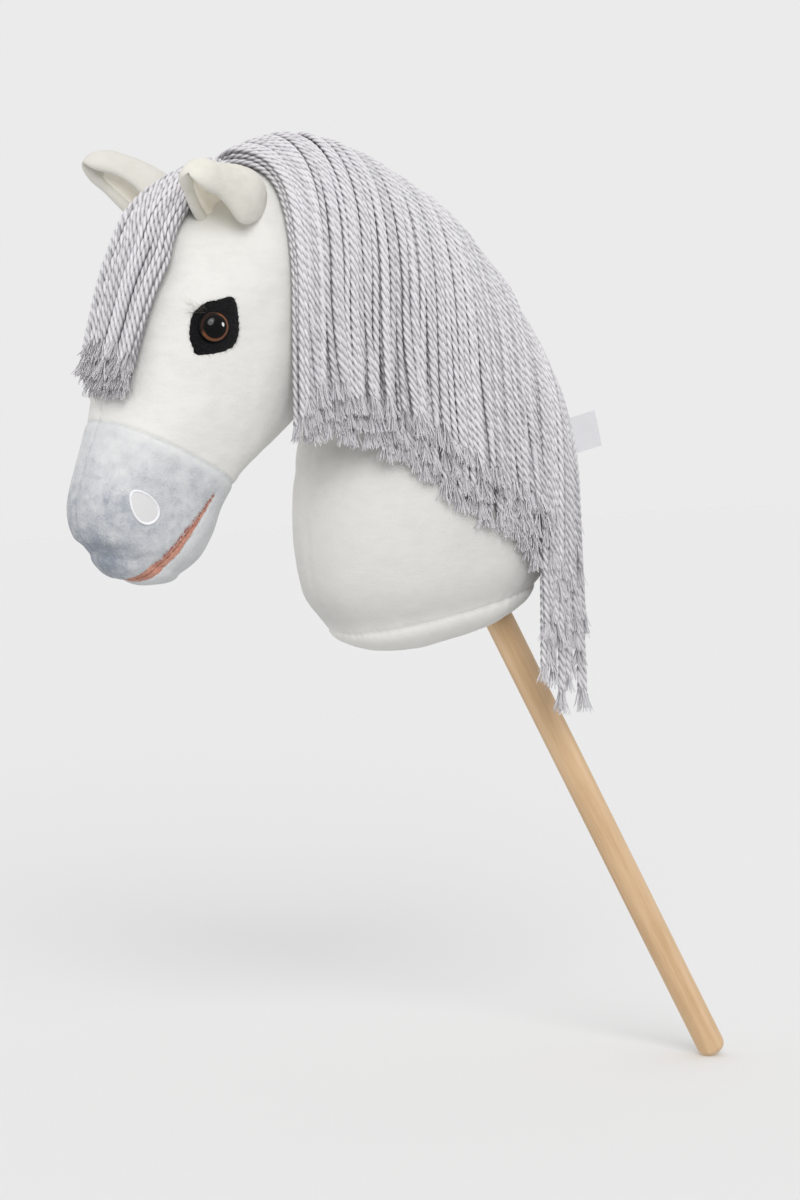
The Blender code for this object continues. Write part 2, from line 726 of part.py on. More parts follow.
def make_lock(skin, number):
    """One lock of the mane: a curved slab that hangs from the crest, as the cords in it do."""
    first, last = (edge * MM for edge in MANE_EDGES[number:number + 2])
    first, last = first + LOCK_SPACE / 2, last - LOCK_SPACE / 2
    outer, inner = [], []
    for x in np.linspace(first, last, 4):
        share = (x - first) / (last - first)
        length = np.interp(share, (0, 1), MANE_LENGTHS[number]) * MM
        line, normals, spacings = lock_path(skin, min(x, MANE_ROOT_END), length)
        down = np.linspace(0, 1, len(line))
        flare = MANE_FLARE * share if number == len(MANE_LENGTHS) - 1 else 0.0
        sweep = np.interp(share, (0, 1), MANE_SWEEPS.get(number, (0.0, 0.0)))
        early = np.clip(1 - down / MANE_SWEEP_REACH, 0, 1) ** 2
        if sweep:
            swept = lock_path(skin, x + sweep, length)
            line = line + (swept[0] - line) * early[:, None]
            normals = normals + (swept[1] - normals) * early[:, None]
            spacings = spacings + (swept[2] - spacings) * early
        xs = x + flare * down + sweep * early
        inner.append([(a, *(p + n * off)) for a, p, n, off in zip(xs, line, normals, spacings)])
        reach = LOCK_CLEARANCE + MANE_THICKNESS
        outer.append([(a, *(p + n * reach)) for a, p, n in zip(xs, line, normals)])
    name = f"mane_lock_{number + 1}"
    item = add_object(name, thick_sheet(name, outer, inner), CORD_GREY)
    root = (np.array(inner[0][0]) + np.array(inner[-1][0])) / 2
    hang_on(item, f"lock_pivot_{number + 1}", root)
    print(name, "pivot", root.round(4))


def make_forelock():
    """The lock that falls from the poll over the forehead, a little to the left side."""
    first, last = FORELOCK_ROWS

    def turns(v):
        t = (v - first) / (last - first)
        edges = np.array(FORELOCK_TURNS)
        return [np.interp(t, (0.0, 0.5, 1.0), edges[:, k]) for k in (0, 1)]

    def low(v):
        return LOCK_CLEARANCE + FORELOCK_FLARE * ((v - first) / (last - first)) ** 2

    def high(v):
        return low(v) + np.interp(v, (first, first + 1.5), FORELOCK_THICKNESS)

    item = strip("forelock", turns, rows_between(first, last, 4), low, high, CORD_GREY, 6)
    pivot = skin_at(0.0, first, LOCK_CLEARANCE)
    hang_on(item, "forelock_pivot", pivot)
    print("forelock pivot", pivot.round(4))


def make_label():
    """A bare satin tag, sewn into the seam at the back of the neck."""
    along = np.array((math.cos(LABEL_RISE), math.sin(LABEL_RISE)))
    up = np.array((-along[1], along[0]))
    grids = []
    for side in (0.0, LABEL_THICKNESS):
        grid = []
        for a in np.linspace(0, 1, 7):
            wave = 1.2 * MM * math.sin(a * math.pi * 1.5)
            row = []
            for b in (0.0, 0.5, 1.0):
                x, z = np.array(LABEL_ROOT) + along * a * LABEL_SIZE[0] + up * b * LABEL_SIZE[1]
                row.append((x, LABEL_SIDE + wave + side, z))
            grid.append(row)
        grids.append(grid)
    item = add_object("label", thick_sheet("label", *grids), SATIN)
    hang_on(item, "label_pivot", (LABEL_ROOT[0], LABEL_SIDE, LABEL_ROOT[1]))


def main():
    clear_scene()
    skin = Skin()
    make_pole()
    make_pocket()
    socket = pocket_space()
    below_slit = make_mouth()
    filling = add_object("head_stuffing", body_mesh("head_stuffing", -PLUSH - FILLING_GAP), FILLING)
    boolean(filling, below_slit)
    boolean(filling, socket)
    boolean(make_base_panel(), socket)
    chin_rows = [LAST + row for row in DOME_ROWS] + [LAST + 0.95]
    around_head = cutter("around_head", body_mesh("around_head", GAP))
    for side, word in SIDES:
        skull = panel("neck_head_" + word, side, rows_between(SEAM_GAP, MUZZLE_SEAM), PLUSH_WHITE)
        rows = [MUZZLE_SEAM + 0.03] + rows_between(MUZZLE_SEAM + 0.5, LAST) + chin_rows
        boolean(panel("muzzle_" + word, side, rows, PLUSH_GREY), below_slit)
        shank_space, washer_space = make_eye(skin, side, word)
        boolean(skull, shank_space)
        boolean(filling, washer_space)
        make_nostril(skin, side, word)
        make_ear(skin, side, word, around_head)
    make_tapes()
    for number in range(len(MANE_LENGTHS)):
        make_lock(skin, number)
    make_forelock()
    make_label()


main()
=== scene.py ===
# %% [markdown]
# # A hobby horse in soft studio light
#
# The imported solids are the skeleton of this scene: they say where every piece is and what it
# moves with. The cells below put the looks on top: plush that is stuffed and sewn, a mane of
# about two hundred twisted cords, glassy eyes on felt, and a wooden pole.
#
# Everything is in metres, with +Z up. The horse looks along -X and its mane falls over -Y.

# %% Set up
import math

import bmesh
import bpy
import numpy as np
from mathutils import Matrix, Vector, noise
from mathutils.bvhtree import BVHTree


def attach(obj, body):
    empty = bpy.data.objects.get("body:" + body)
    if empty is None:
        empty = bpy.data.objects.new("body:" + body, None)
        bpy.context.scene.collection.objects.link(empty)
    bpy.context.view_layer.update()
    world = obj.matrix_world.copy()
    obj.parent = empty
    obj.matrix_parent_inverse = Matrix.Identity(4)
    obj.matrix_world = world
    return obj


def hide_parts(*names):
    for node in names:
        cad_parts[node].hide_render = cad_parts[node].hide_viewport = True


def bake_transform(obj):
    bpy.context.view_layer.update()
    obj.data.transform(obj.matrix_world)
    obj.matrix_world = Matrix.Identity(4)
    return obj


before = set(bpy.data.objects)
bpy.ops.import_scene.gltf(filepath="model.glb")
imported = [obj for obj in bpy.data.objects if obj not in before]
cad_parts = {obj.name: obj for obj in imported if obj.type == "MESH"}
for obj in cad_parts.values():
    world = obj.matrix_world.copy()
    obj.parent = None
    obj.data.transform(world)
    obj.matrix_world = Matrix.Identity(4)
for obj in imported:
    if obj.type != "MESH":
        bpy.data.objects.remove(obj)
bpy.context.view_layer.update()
MM = 0.001
SEED = 11

# %% [markdown]
# ## Helpers for meshes
#
# Every shape here is a grid of points that is computed with numpy and then handed to Blender.
# The grid's rows and columns say which points each face joins. A tube has its columns joined
# into rings. It is closed by a face at each end, or by bending it round until the ends meet.

# %% Faces of a grid
def unit(vectors):
    vectors = np.asarray(vectors, float)
    return vectors / np.maximum(np.linalg.norm(vectors, axis=-1, keepdims=True), 1e-9)


def grid_faces(rows, columns, wrap=False, start=0):
    """Quads of a grid of points that is stored row after row. wrap joins the last column to the first."""
    r, c = np.meshgrid(np.arange(rows - 1), np.arange(columns if wrap else columns - 1), indexing="ij")
    after = (c + 1) % columns
    return np.stack([r * columns + c, r * columns + after, (r + 1) * columns + after, (r + 1) * columns + c],
                    -1).reshape(-1, 4) + start


def tube_faces(rows, columns):
    """Faces of a tube of rings, closed at both ends."""
    faces = [tuple(f) for f in grid_faces(rows, columns, wrap=True)]
    return faces + [tuple(range(columns)), tuple((rows - 1) * columns + i for i in range(columns))]


def ring_faces(rows, columns):
    """Faces of a tube that is bent round, so that its last row meets its first."""
    faces, last = [tuple(f) for f in grid_faces(rows, columns, wrap=True)], (rows - 1) * columns
    return faces + [(last + k, last + (k + 1) % columns, (k + 1) % columns, k) for k in range(columns)]


print("faces of a grid of 3 by 4 points:", len(grid_faces(3, 4)))

# %% [markdown]
# `put` makes the object, smooths its shading, and says what it moves with, which solids it
# stands for and which finish it has. Keeping that in one place makes each later cell short.

# %% An object from points and faces
def put(name, points, faces, material, body=None, slot=None, replaces=(), sharp=60, closed=True, values=None):
    """Makes a mesh object. values is {attribute name: one number for each point}."""
    mesh = bpy.data.meshes.new(name)
    faces = [list(map(int, face)) for face in faces]
    mesh.from_pydata(np.asarray(points, float).reshape(-1, 3).tolist(), [], faces)
    for key, numbers in (values or {}).items():
        attribute = mesh.attributes.new(key, "FLOAT", "POINT")
        attribute.data.foreach_set("value", np.asarray(numbers, np.float32).ravel())
    if closed:
        form = bmesh.new()
        form.from_mesh(mesh)
        bmesh.ops.recalc_face_normals(form, faces=form.faces)
        form.to_mesh(mesh)
        form.free()
    mesh.shade_smooth()
    if sharp:
        mesh.set_sharp_from_angle(angle=math.radians(sharp))
    mesh.materials.append(material)
    thing = bpy.data.objects.new(name, mesh)
    bpy.context.scene.collection.objects.link(thing)
    if body:
        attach(thing, body)
    if replaces:
        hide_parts(*replaces)
    return thing


print("put is ready")

# %% [markdown]
# The next helpers change a mesh that exists: they apply its modifiers, read and move its points,
# store a number at each point for a material to read, and change its finish.

# %% Changing an object's mesh
def apply_modifiers(thing):
    """Keeps what the modifiers make as the object's own mesh."""
    result = bpy.data.meshes.new_from_object(thing.evaluated_get(bpy.context.evaluated_depsgraph_get()))
    old = thing.data
    thing.modifiers.clear()
    thing.data = result
    bpy.data.meshes.remove(old)
    return thing


def positions(thing):
    flat = np.empty(len(thing.data.vertices) * 3)
    thing.data.vertices.foreach_get("co", flat)
    return flat.reshape(-1, 3)


def move(thing, offsets):
    """Moves each point along its normal."""
    normals = np.empty(len(thing.data.vertices) * 3)
    thing.data.vertices.foreach_get("normal", normals)
    moved = positions(thing) + normals.reshape(-1, 3) * np.asarray(offsets)[:, None]
    thing.data.vertices.foreach_set("co", moved.ravel())
    thing.data.update()


def store(thing, name, numbers):
    attribute = thing.data.attributes.get(name) or thing.data.attributes.new(name, "FLOAT", "POINT")
    attribute.data.foreach_set("value", np.asarray(numbers, np.float32))


def dress(thing, finish):
    """Gives the object this finish alone."""
    thing.data.materials.clear()
    thing.data.materials.append(finish)


print("mesh helpers: apply_modifiers, positions, move, store, dress")

# %% [markdown]
# Nearly all soft shapes here are made of three curves: smooth noise, a rounded bump, and a step
# with rounded corners. The noise could come from a Displace modifier, but as a function it can
# be added to other movements, and the same function also colours the airbrushed paint.

# %% Noise, bump and step
def wobble(points, size, seed=0.0, detail=1):
    """Smooth noise from -1 to 1 at each point, with lumps of this size in metres."""
    total = np.zeros(len(points))
    for octave in range(detail):
        scale = 2**octave / size
        apart = Vector((seed, 7.3 * octave, 0))
        total += np.array([noise.noise(Vector(p * scale) + apart) for p in points]) / 2**octave
    return total


def bump_at(distance, width):
    """1 at distance 0, falling smoothly to 0 over about this width."""
    return np.exp(-(np.asarray(distance) / width) ** 2)


def smoothstep(values, low, high):
    t = np.clip((np.asarray(values) - low) / (high - low), 0, 1)
    return t * t * (3 - 2 * t)


print("half way up the step:", float(smoothstep(0.5, 0, 1)))

# %% [markdown]
# ## Helpers for materials
#
# A material is easier to read as sums than as boxes and wires. `Signal` wraps one output
# socket of a shader node, so that `a * 0.3 + b` adds the nodes for it. `Finish` makes a
# material and hands out nodes. All patterns are procedural: they depend on a place in space or
# on a number stored at the points of the mesh, and never on a picture.

# %% Maths on sockets
class Signal:
    """One output of a shader node. Its maths adds Math nodes."""

    def __init__(self, finish, socket):
        self.finish, self.socket = finish, socket

    def _math(self, operation, first, second):
        return self.finish.node("Math", {"operation": operation}, {0: first, 1: second})

    def __add__(self, other):
        return self._math("ADD", self, other)

    def __radd__(self, other):
        return self._math("ADD", other, self)

    def __sub__(self, other):
        return self._math("SUBTRACT", self, other)

    def __rsub__(self, other):
        return self._math("SUBTRACT", other, self)

    def __mul__(self, other):
        return self._math("MULTIPLY", self, other)

    def __rmul__(self, other):
        return self._math("MULTIPLY", other, self)

    def apply(self, operation, other=0.0):
        """Any other Math operation, such as SINE or MAXIMUM."""
        return self._math(operation, self, other)

    def ramp(self, low, high):
        """0 below low, 1 above high, and a smooth curve between."""
        return self.finish.node("MapRange", {"interpolation_type": "SMOOTHSTEP"},
                                {"Value": self, "From Min": low, "From Max": high})


print("a Signal can be added, subtracted, multiplied, applied and ramped")

# %% [markdown]
# `node` adds any node by its type, its settings and what goes into its sockets. The methods
# below it are short names for the nodes that most finishes use. Colours are mixed by Mix nodes,
# because a Math node would turn them grey.

# %% A material in one object
class Finish:
    """A material with one Principled shader, or the nodes of a world that is handed in."""

    def __init__(self, name, roughness=0.9, **settings):
        if isinstance(name, bpy.types.World):
            self.tree = name.node_tree
            self.shader = self.tree.nodes["Background"]
            return
        self.material = bpy.data.materials.new(name)
        self.material.use_nodes = True
        self.tree = self.material.node_tree
        self.shader = self.tree.nodes["Principled BSDF"]
        self.set(Roughness=roughness, **settings)

    def set(self, **settings):
        for key, value in settings.items():
            self.feed(self.shader.inputs[key.replace("_", " ")], value)
        return self

    def feed(self, socket, value):
        if isinstance(value, Signal):
            self.tree.links.new(value.socket, socket)
        elif isinstance(value, tuple):
            socket.default_value = value if len(socket.default_value) == len(value) else (*value, 1.0)
        else:
            socket.default_value = value

    def node(self, kind, settings=None, inputs=None, output=0):
        """Adds a node by its type, with its settings and what goes into its sockets."""
        node = self.tree.nodes.new("ShaderNode" + kind)
        for key, value in (settings or {}).items():
            setattr(node, key, value)
        for key, value in (inputs or {}).items():
            self.feed(node.inputs[key], value)
        return Signal(self, node.outputs[output])

    def place(self):
        return self.node("TexCoord", output="Object")

    def stored(self, name):
        return self.node("Attribute", {"attribute_name": name}, output="Fac")

    def noise(self, size, detail=2.0, roughness=0.5, at=None, stretch=None):
        """Noise from 0 to 1 with lumps of this size in metres."""
        at = at or self.place()
        if stretch:
            at = self.node("Mapping", {}, {"Vector": at, "Scale": stretch})
        return self.node("TexNoise", {}, {"Vector": at, "Scale": 1 / size, "Detail": detail,
                                          "Roughness": roughness})

    def mix(self, factor, first, second):
        """Colour first where factor is 0 and second where it is 1."""
        return self.node("Mix", {"data_type": "RGBA"}, {0: factor, 6: first, 7: second}, output=2)

    def bump(self, height, distance, strength):
        """Fine relief: distance is how high the height 1 stands, in metres."""
        self.set(Normal=self.node("Bump", {}, {"Height": height, "Distance": distance, "Strength": strength}))


print("material helpers: Signal, Finish")

# %% [markdown]
# ## The finishes
#
# White plush is nearly all light and softness: a sheen for the tips of the pile, a fine grain,
# and patches where the nap lies another way and looks slightly darker. The airbrushed grey of
# the muzzle comes from a number stored at the mesh's points, so the paint follows the shape.
# The thin ears let some light through. A faint glow of their lining's own gives that look
# without the noise and the time that translucent cloth takes to render.

# %% Plush
def paint(red, green, blue):
    """A colour as seen on a screen, 0 to 255, as the linear colour that Blender works with."""
    screen = (red / 255, green / 255, blue / 255)
    return tuple(c / 12.92 if c < 0.04045 else ((c + 0.055) / 1.055) ** 2.4 for c in screen)


def make_plush(name, light, dark, pile=0.55):
    """Short plush. Two numbers stored at the mesh's points colour it: grey is airbrushed paint and
    painted seam shadow, and shade is painted shade, darker low on the neck and on the right ear."""
    plush = Finish(name, 0.95, Sheen_Weight=0.18, Sheen_Roughness=0.6, Specular_IOR_Level=0.12)
    nap = plush.noise(8 * MM, 4.0, 0.55, stretch=(0.6, 0.6, 1.3))
    patches = plush.noise(34 * MM, 2.0, 0.5)
    grain = plush.noise(1.0 * MM, 3.0, 0.7, stretch=(0.5, 0.5, 1.0))
    cloth = plush.mix((nap * 0.6 + patches * 0.4).ramp(0.30, 0.62), dark, light)
    # painted shade: where shade is stored, the cloth is darkened towards a duller white
    cloth = plush.mix(plush.stored("shade"), cloth, paint(194, 193, 190))
    grey = plush.stored("grey")
    cloud = plush.noise(13 * MM, 5.0, 0.7)
    specks = plush.noise(2.4 * MM, 2.0, 0.6).ramp(0.60, 0.74)
    speckle = grey * (cloud * 1.35 + nap * 0.55) + grey * (grain - 0.5) * 1.1 + grey * specks * 0.35
    painted = plush.mix(speckle.ramp(0.0, 1.1), cloth, paint(140, 147, 159))
    plush.set(Base_Color=painted)
    tufts = plush.noise(3.2 * MM, 3.0, 0.6)
    plush.bump(nap * 0.6 + tufts * 0.4 + grain * pile, 1.1 * MM, 0.55)
    return plush.material


def make_ear_lining():
    """The cream plush in the ear, with a faint glow for the light that comes through the thin ear."""
    lining = make_plush("plush_ear_lining", paint(236, 231, 219), paint(226, 220, 205), pile=0.4)
    shader = lining.node_tree.nodes["Principled BSDF"]
    shader.inputs["Emission Color"].default_value = (1.0, 0.97, 0.88, 1.0)
    shader.inputs["Emission Strength"].default_value = 0.10
    return lining


print("plush: a light and a dark side of the nap, soft patches, and paint where grey is stored")

# %% [markdown]
# Cord, felt, fleece and wood differ mostly in their noise: how large its lumps are, and how far
# they are stretched. Fibres of a cord are drawn out along it, and the grain of the beech is
# drawn out along the pole, which leans by `POLE_TILT`.

# %% Cord, felt, fleece and wood
POLE_TILT = math.radians(30.6)


def make_cord():
    """Twisted polyester cord. The stored number is its lightness with painted shade in it: dark
    between the plies, on the side that faces the neck and towards the end, and light on the plies.
    """
    cord = Finish("cord", 0.6, Sheen_Weight=0.25, Sheen_Roughness=0.4, Specular_IOR_Level=0.35)
    tone = cord.stored("tone")
    fibres = cord.noise(0.8 * MM, 2.0, 0.6, stretch=(1.0, 1.0, 0.3))
    level = tone + (fibres - 0.5) * 0.3
    cord.set(Base_Color=cord.mix(level.ramp(0.0, 1.0), paint(110, 108, 112), paint(225, 223, 226)))
    cord.bump(fibres, 0.3 * MM, 0.5)
    return cord.material


def make_felt():
    felt = Finish("felt", 1.0, Sheen_Weight=0.12, Sheen_Roughness=0.5, Specular_IOR_Level=0.1)
    fuzz = felt.noise(1.4 * MM, 4.0, 0.75)
    felt.set(Base_Color=felt.mix(fuzz.ramp(0.35, 0.75), paint(8, 8, 10), paint(34, 34, 37)))
    felt.bump(fuzz, 1.0 * MM, 0.8)
    return felt.material


def make_fleece(name, light, dark):
    fleece = Finish(name, 0.95, Sheen_Weight=0.2, Sheen_Roughness=0.5, Specular_IOR_Level=0.1)
    pile = fleece.noise(1.8 * MM, 4.0, 0.7)
    shade = fleece.noise(9 * MM, 2.0)
    fleece.set(Base_Color=fleece.mix((pile * 0.6 + shade * 0.4).ramp(0.3, 0.7), dark, light))
    fleece.bump(pile, 0.8 * MM, 0.7)
    return fleece.material


def make_wood():
    """Beech: fine pores and faint darker streaks, all drawn out along the pole."""
    wood = Finish("beech", 0.5, Specular_IOR_Level=0.35)
    along = wood.node("Mapping", {}, {"Vector": wood.place(), "Rotation": (0.0, POLE_TILT, 0.0)})
    streaks = wood.noise(14 * MM, 4.0, 0.6, at=along, stretch=(1.0, 1.0, 0.035))
    pores = wood.noise(1.3 * MM, 3.0, 0.65, at=along, stretch=(1.0, 1.0, 0.06))
    cloud = wood.noise(90 * MM, 2.0, 0.5, at=along)
    grain = streaks * 0.62 + pores * 0.2 + cloud * 0.25
    wood.set(Base_Color=wood.mix(grain.ramp(0.32, 0.72), paint(196, 160, 118), paint(228, 196, 158)))
    wood.set(Roughness=0.42 + pores * 0.22)
    wood.bump(pores + streaks * 0.4, 0.15 * MM, 0.5)
    return wood.material


print("the pole leans by", round(math.degrees(POLE_TILT), 1), "degrees")

# %% [markdown]
# The eye is one moulded piece with the iris painted behind clear plastic. Its rings follow two
# numbers stored at its points. The woven cloths are two crossing waves, as the threads are.

# %% Eye, thread and woven cloth
def make_eye_finish():
    """Black pupil and a narrow brown iris, under the clear gloss. rim is 0 in the middle, 1 at the edge."""
    eye = Finish("eye", 0.1, Coat_Weight=0.15, Coat_Roughness=0.03, Specular_IOR_Level=0.12)
    rim = eye.stored("rim")
    rays = eye.noise(0.7 * MM, 2.0)
    iris = eye.mix(rays, paint(74, 38, 20), paint(140, 88, 54))
    ring = rim.ramp(0.74, 0.79) * (1.0 - rim.ramp(0.90, 0.95)) * eye.stored("iris")
    eye.set(Base_Color=eye.mix(ring, paint(6, 5, 6), iris))
    return eye.material


def make_thread():
    thread = Finish("satin_thread", 0.45, Sheen_Weight=0.2, Specular_IOR_Level=0.4)
    fine = thread.noise(0.6 * MM, 2.0)
    thread.set(Base_Color=thread.mix(fine, paint(226, 226, 232), paint(246, 246, 248)))
    return thread.material


def make_weave(name, light, dark, pitch=0.7 * MM, roughness=0.8):
    """Plain woven cloth: two crossing waves of thread."""
    weave = Finish(name, roughness, Specular_IOR_Level=0.25)
    wave = 2 * math.pi / pitch
    split = weave.node("SeparateXYZ", {}, {"Vector": weave.place()})
    across = (split * wave).apply("SINE")
    up = (Signal(weave, split.socket.node.outputs[2]) * wave).apply("SINE")
    height = (across * up) * 0.5 + 0.5
    dirt = weave.noise(8 * MM, 3.0)
    # painted shade: darker where the threads dip under one another
    weave.set(Base_Color=weave.mix(height * 0.7 + dirt * 0.3, dark, light))
    weave.bump(height, 0.15 * MM, 0.5)
    return weave.material


WHITE = make_plush("plush_white", paint(232, 231, 227), paint(226, 225, 221))
CREAM = make_plush("plush_cream", paint(228, 225, 216), paint(220, 216, 205), pile=0.4)
LINING = make_ear_lining()
CORD, FELT, WOOD, EYE = make_cord(), make_felt(), make_wood(), make_eye_finish()
CORAL = make_fleece("coral_fleece", paint(215, 163, 140), paint(182, 118, 104))
THREAD = make_thread()
LASH = Finish("lash", 0.6).set(Base_Color=paint(120, 112, 102)).material
PILE = Finish("loose_pile", 0.9).set(Base_Color=paint(214, 214, 215)).material
CORAL_PILE = Finish("coral_pile", 0.9).set(Base_Color=paint(178, 98, 88)).material
NOSTRIL_CLOTH = make_weave("nostril_cloth", paint(224, 223, 222), paint(214, 213, 214), roughness=0.7)
SATIN = make_weave("satin_cloth", paint(226, 226, 228), paint(210, 210, 215), roughness=0.5)
TAPE = make_weave("cotton_tape", paint(205, 204, 208), paint(170, 169, 175), pitch=0.9 * MM)
NYLON = make_weave("nylon", paint(215, 215, 212), paint(196, 196, 194), pitch=2.5 * MM, roughness=0.45)
print("finishes:", ", ".join(sorted(material.name for material in bpy.data.materials if material.users < 1)))

# %% [markdown]
# ## The body's surface
#
# The head and neck are sewn from flat panels and stuffed until they are round, so one smooth
# loft describes them well. A row of the table gives the throat (x, z), the crest (x, z) and the
# half width of a section, in millimetres. The rows fan round the throat, from the neck's base
# to the chin. `FULLNESS` makes a section a little squarer than an ellipse, which would be 2.

# %% The table of sections
SECTIONS = MM * np.array((
    (-401, 400, -216, 440, 65), (-426, 434, -193, 466, 76), (-434, 486, -184, 507, 80),
    (-433, 530, -187, 554, 80), (-430, 560, -201, 600, 78), (-431, 577, -229, 650, 75),
    (-437, 584, -271, 700, 73), (-443, 587, -329, 752, 71), (-449, 586, -404, 785, 70),
    (-455, 583, -477, 792, 70), (-462, 577, -540, 774, 72), (-471, 569, -585, 745, 73),
    (-485, 559, -606, 704, 72), (-499, 549, -618, 655, 68), (-510, 539, -627, 605, 61),
    (-518, 526, -633, 583, 56), (-528, 509, -646, 547, 52), (-535, 490, -654, 515, 49),
    (-548, 470, -649, 490, 44), (-566, 457, -634, 475, 34),
), float)
LAST = len(SECTIONS) - 1
FULLNESS = 2.3
BASE_DOME, CHIN_DOME = 31 * MM, 14 * MM
MUZZLE_SEAM = 15
LEFT, RIGHT = -1, 1
SIDES = ((LEFT, "left"), (RIGHT, "right"))
print("the body runs over", len(SECTIONS), "sections")

# %% [markdown]
# `surface` gives the place of any point on the body. `u` runs round a section, from the crest
# over the horse's left side to the throat, and `v` runs along the body and counts the table's
# rows. The crest tape and the forelock are placed by the same two numbers, as on a pattern.

# %% Places on the body
def section_at(v):
    """A row of the table between its rows, on a smooth curve through them."""
    v = np.clip(v, 0, LAST)
    i = np.minimum(v.astype(int), LAST - 1)
    t = (v - i)[..., None]
    before, start, end, after = (SECTIONS[np.clip(i + k, 0, LAST)] for k in (-1, 0, 1, 2))
    return ((2 * t**3 - 3 * t**2 + 1) * start + (t**3 - 2 * t**2 + t) * (end - before) / 2
            + (3 * t**2 - 2 * t**3) * end + (t**3 - t**2) * (after - start) / 2)


def surface(u, v):
    """Points of the body's skin. Past its first and last row, the body closes as a dome."""
    u, v = np.broadcast_arrays(np.asarray(u, float), np.asarray(v, float))
    beyond = np.maximum(np.maximum(-v, v - LAST), 0) * math.pi / 2
    row = section_at(v)
    nothing = np.zeros_like(row[..., 0])
    throat = np.stack((row[..., 0], nothing, row[..., 1]), -1)
    crest = np.stack((row[..., 2], nothing, row[..., 3]), -1)
    middle, reach = (crest + throat) / 2, (crest - throat) / 2
    outward = unit(np.stack((reach[..., 2], nothing, -reach[..., 0]), -1))
    outward *= -np.sign(outward[..., 2:])
    height = np.where(v < 0, BASE_DOME, CHIN_DOME) * np.sin(beyond)
    shrink = np.cos(beyond)[..., None]
    along = np.sign(np.cos(u)) * np.abs(np.cos(u)) ** (2 / FULLNESS)
    across = np.sign(np.sin(u)) * np.abs(np.sin(u)) ** (2 / FULLNESS)
    point = middle + outward * height[..., None] + reach * shrink * along[..., None]
    point[..., 1] -= row[..., 4] * shrink[..., 0] * across
    return point


def normal(u, v, step=0.02):
    du = surface(np.asarray(u) + step, v) - surface(np.asarray(u) - step, v)
    dv = surface(u, np.asarray(v) + step) - surface(u, np.asarray(v) - step)
    return unit(np.cross(dv, du))


def skin_at(u, v, offset):
    """Points that stand off the skin by this distance."""
    return surface(u, v) + normal(u, v) * np.asarray(offset, float)[..., None]


print("top of the poll:", np.round(surface(0.0, 9.0), 3))

# %% [markdown]
# ## Head and neck
#
# The white part is one grid of points that wraps round the body. Three things make it look
# sewn and stuffed: a fine groove with a slight swelling beside it at each seam, soft lumps
# where the filling presses out, and shallow folds where the throat bends.

# %% Seams, lumps and folds
def seam(distance, width=1.5 * MM, depth=1.3 * MM, puff=0.7 * MM):
    """How far the cloth moves at this distance from a seam: in at the stitches, out beside them."""
    distance = np.abs(distance)
    return puff * bump_at(distance - 7 * MM, 6 * MM) - depth * bump_at(distance, width)


def muzzle_seam(distance):
    """How deep the groove of the muzzle's seam is, and how grey the painted shadow in it is, at this distance."""
    return 1.3 * MM * bump_at(distance, 2.0 * MM), 0.22 * bump_at(distance, 1.7 * MM)


def lumps(points, seed=0.0):
    """The filling behind the cloth: broad lumps with smaller ones on them."""
    return wobble(points, 48 * MM, seed) * 1.6 * MM + wobble(points, 19 * MM, seed + 3, 2) * 0.5 * MM


def distance_to(points, line):
    """The distance from each point to the nearest point of a line."""
    return np.sqrt(((points[:, None, :] - line[None, :, :]) ** 2).sum(-1).min(1))


def folds(points, table):
    """Shallow creases between places in the side view: start, end, depth and width in mm."""
    total = np.zeros(len(points))
    for start, end, depth, width in table:
        a, b = np.array(start) * MM, np.array(end) * MM
        along = np.clip(((points[:, [0, 2]] - a) @ (b - a)) / ((b - a) @ (b - a)), 0, 1)
        gap = np.linalg.norm(points[:, [0, 2]] - a - along[:, None] * (b - a), axis=1)
        total -= depth * MM * bump_at(gap, width * MM) * np.sin(along * math.pi) ** 0.5
    return total


FOLDS = (((-437, 585), (-405, 600), 1.8, 6), ((-436, 560), (-398, 566), 1.5, 6),
         ((-432, 535), (-400, 532), 1.2, 6), ((-455, 585), (-470, 605), 1.2, 6),
         ((-233, 470), (-262, 452), 1.6, 5), ((-215, 505), (-235, 515), 1.0, 6))
MUZZLE_FOLDS = (((-648, 484), (-621, 477), 1.7, 3.5), ((-630, 494), (-604, 494), 1.2, 4),
                ((-622, 472), (-606, 476), 1.0, 3), ((-575, 515), (-590, 500), 0.8, 4))
print("folds:", len(FOLDS), "on the neck and head,", len(MUZZLE_FOLDS), "on the muzzle")

# %% [markdown]
# The rows of the grid lie closer together at the base and at the muzzle's seam, where the cloth
# turns in. Its last row is tucked under the muzzle's edge, so that no gap shows at the seam.
# Every point then moves along its normal by the sum of seams, lumps and folds.

# %% The white panels
AROUND, ALONG, BASE_ROWS, SEAM_ROWS = 232, 280, 34, 26
NEAR_SEAM, TUCKED_IN = 0.4, 3.2 * MM

us = np.linspace(0, 2 * math.pi, AROUND, endpoint=False)
base_rows = -np.cos(np.linspace(0, math.pi / 2, BASE_ROWS))
vs = np.concatenate([base_rows[1:], np.linspace(0, MUZZLE_SEAM - NEAR_SEAM, ALONG)[1:],
                     np.linspace(MUZZLE_SEAM - NEAR_SEAM, MUZZLE_SEAM, SEAM_ROWS)[1:]])
u_grid, v_grid = (g.ravel() for g in np.meshgrid(us, vs, indexing="xy"))
points = surface(u_grid, v_grid)
normals = normal(u_grid, np.clip(v_grid, -0.97, 99))
base_line = surface(us, np.zeros(AROUND))
muzzle_line = surface(us, np.full(AROUND, float(MUZZLE_SEAM)))
shift = lumps(points) + folds(points, FOLDS)
middle_seam = np.where(v_grid > -0.9, seam(points[:, 1]), 0)
shift += np.where(v_grid > 0.0, 1, 0.8) * middle_seam * np.where(np.cos(u_grid) > 0, 1, 0.3)
from_base = distance_to(points, base_line)
shift += seam(from_base, width=1.2 * MM, depth=0.55 * MM, puff=0.15 * MM)
shift += 0.35 * MM * np.sin(u_grid * 61 + 3 * np.sin(u_grid * 7)) * bump_at(from_base, 6 * MM)
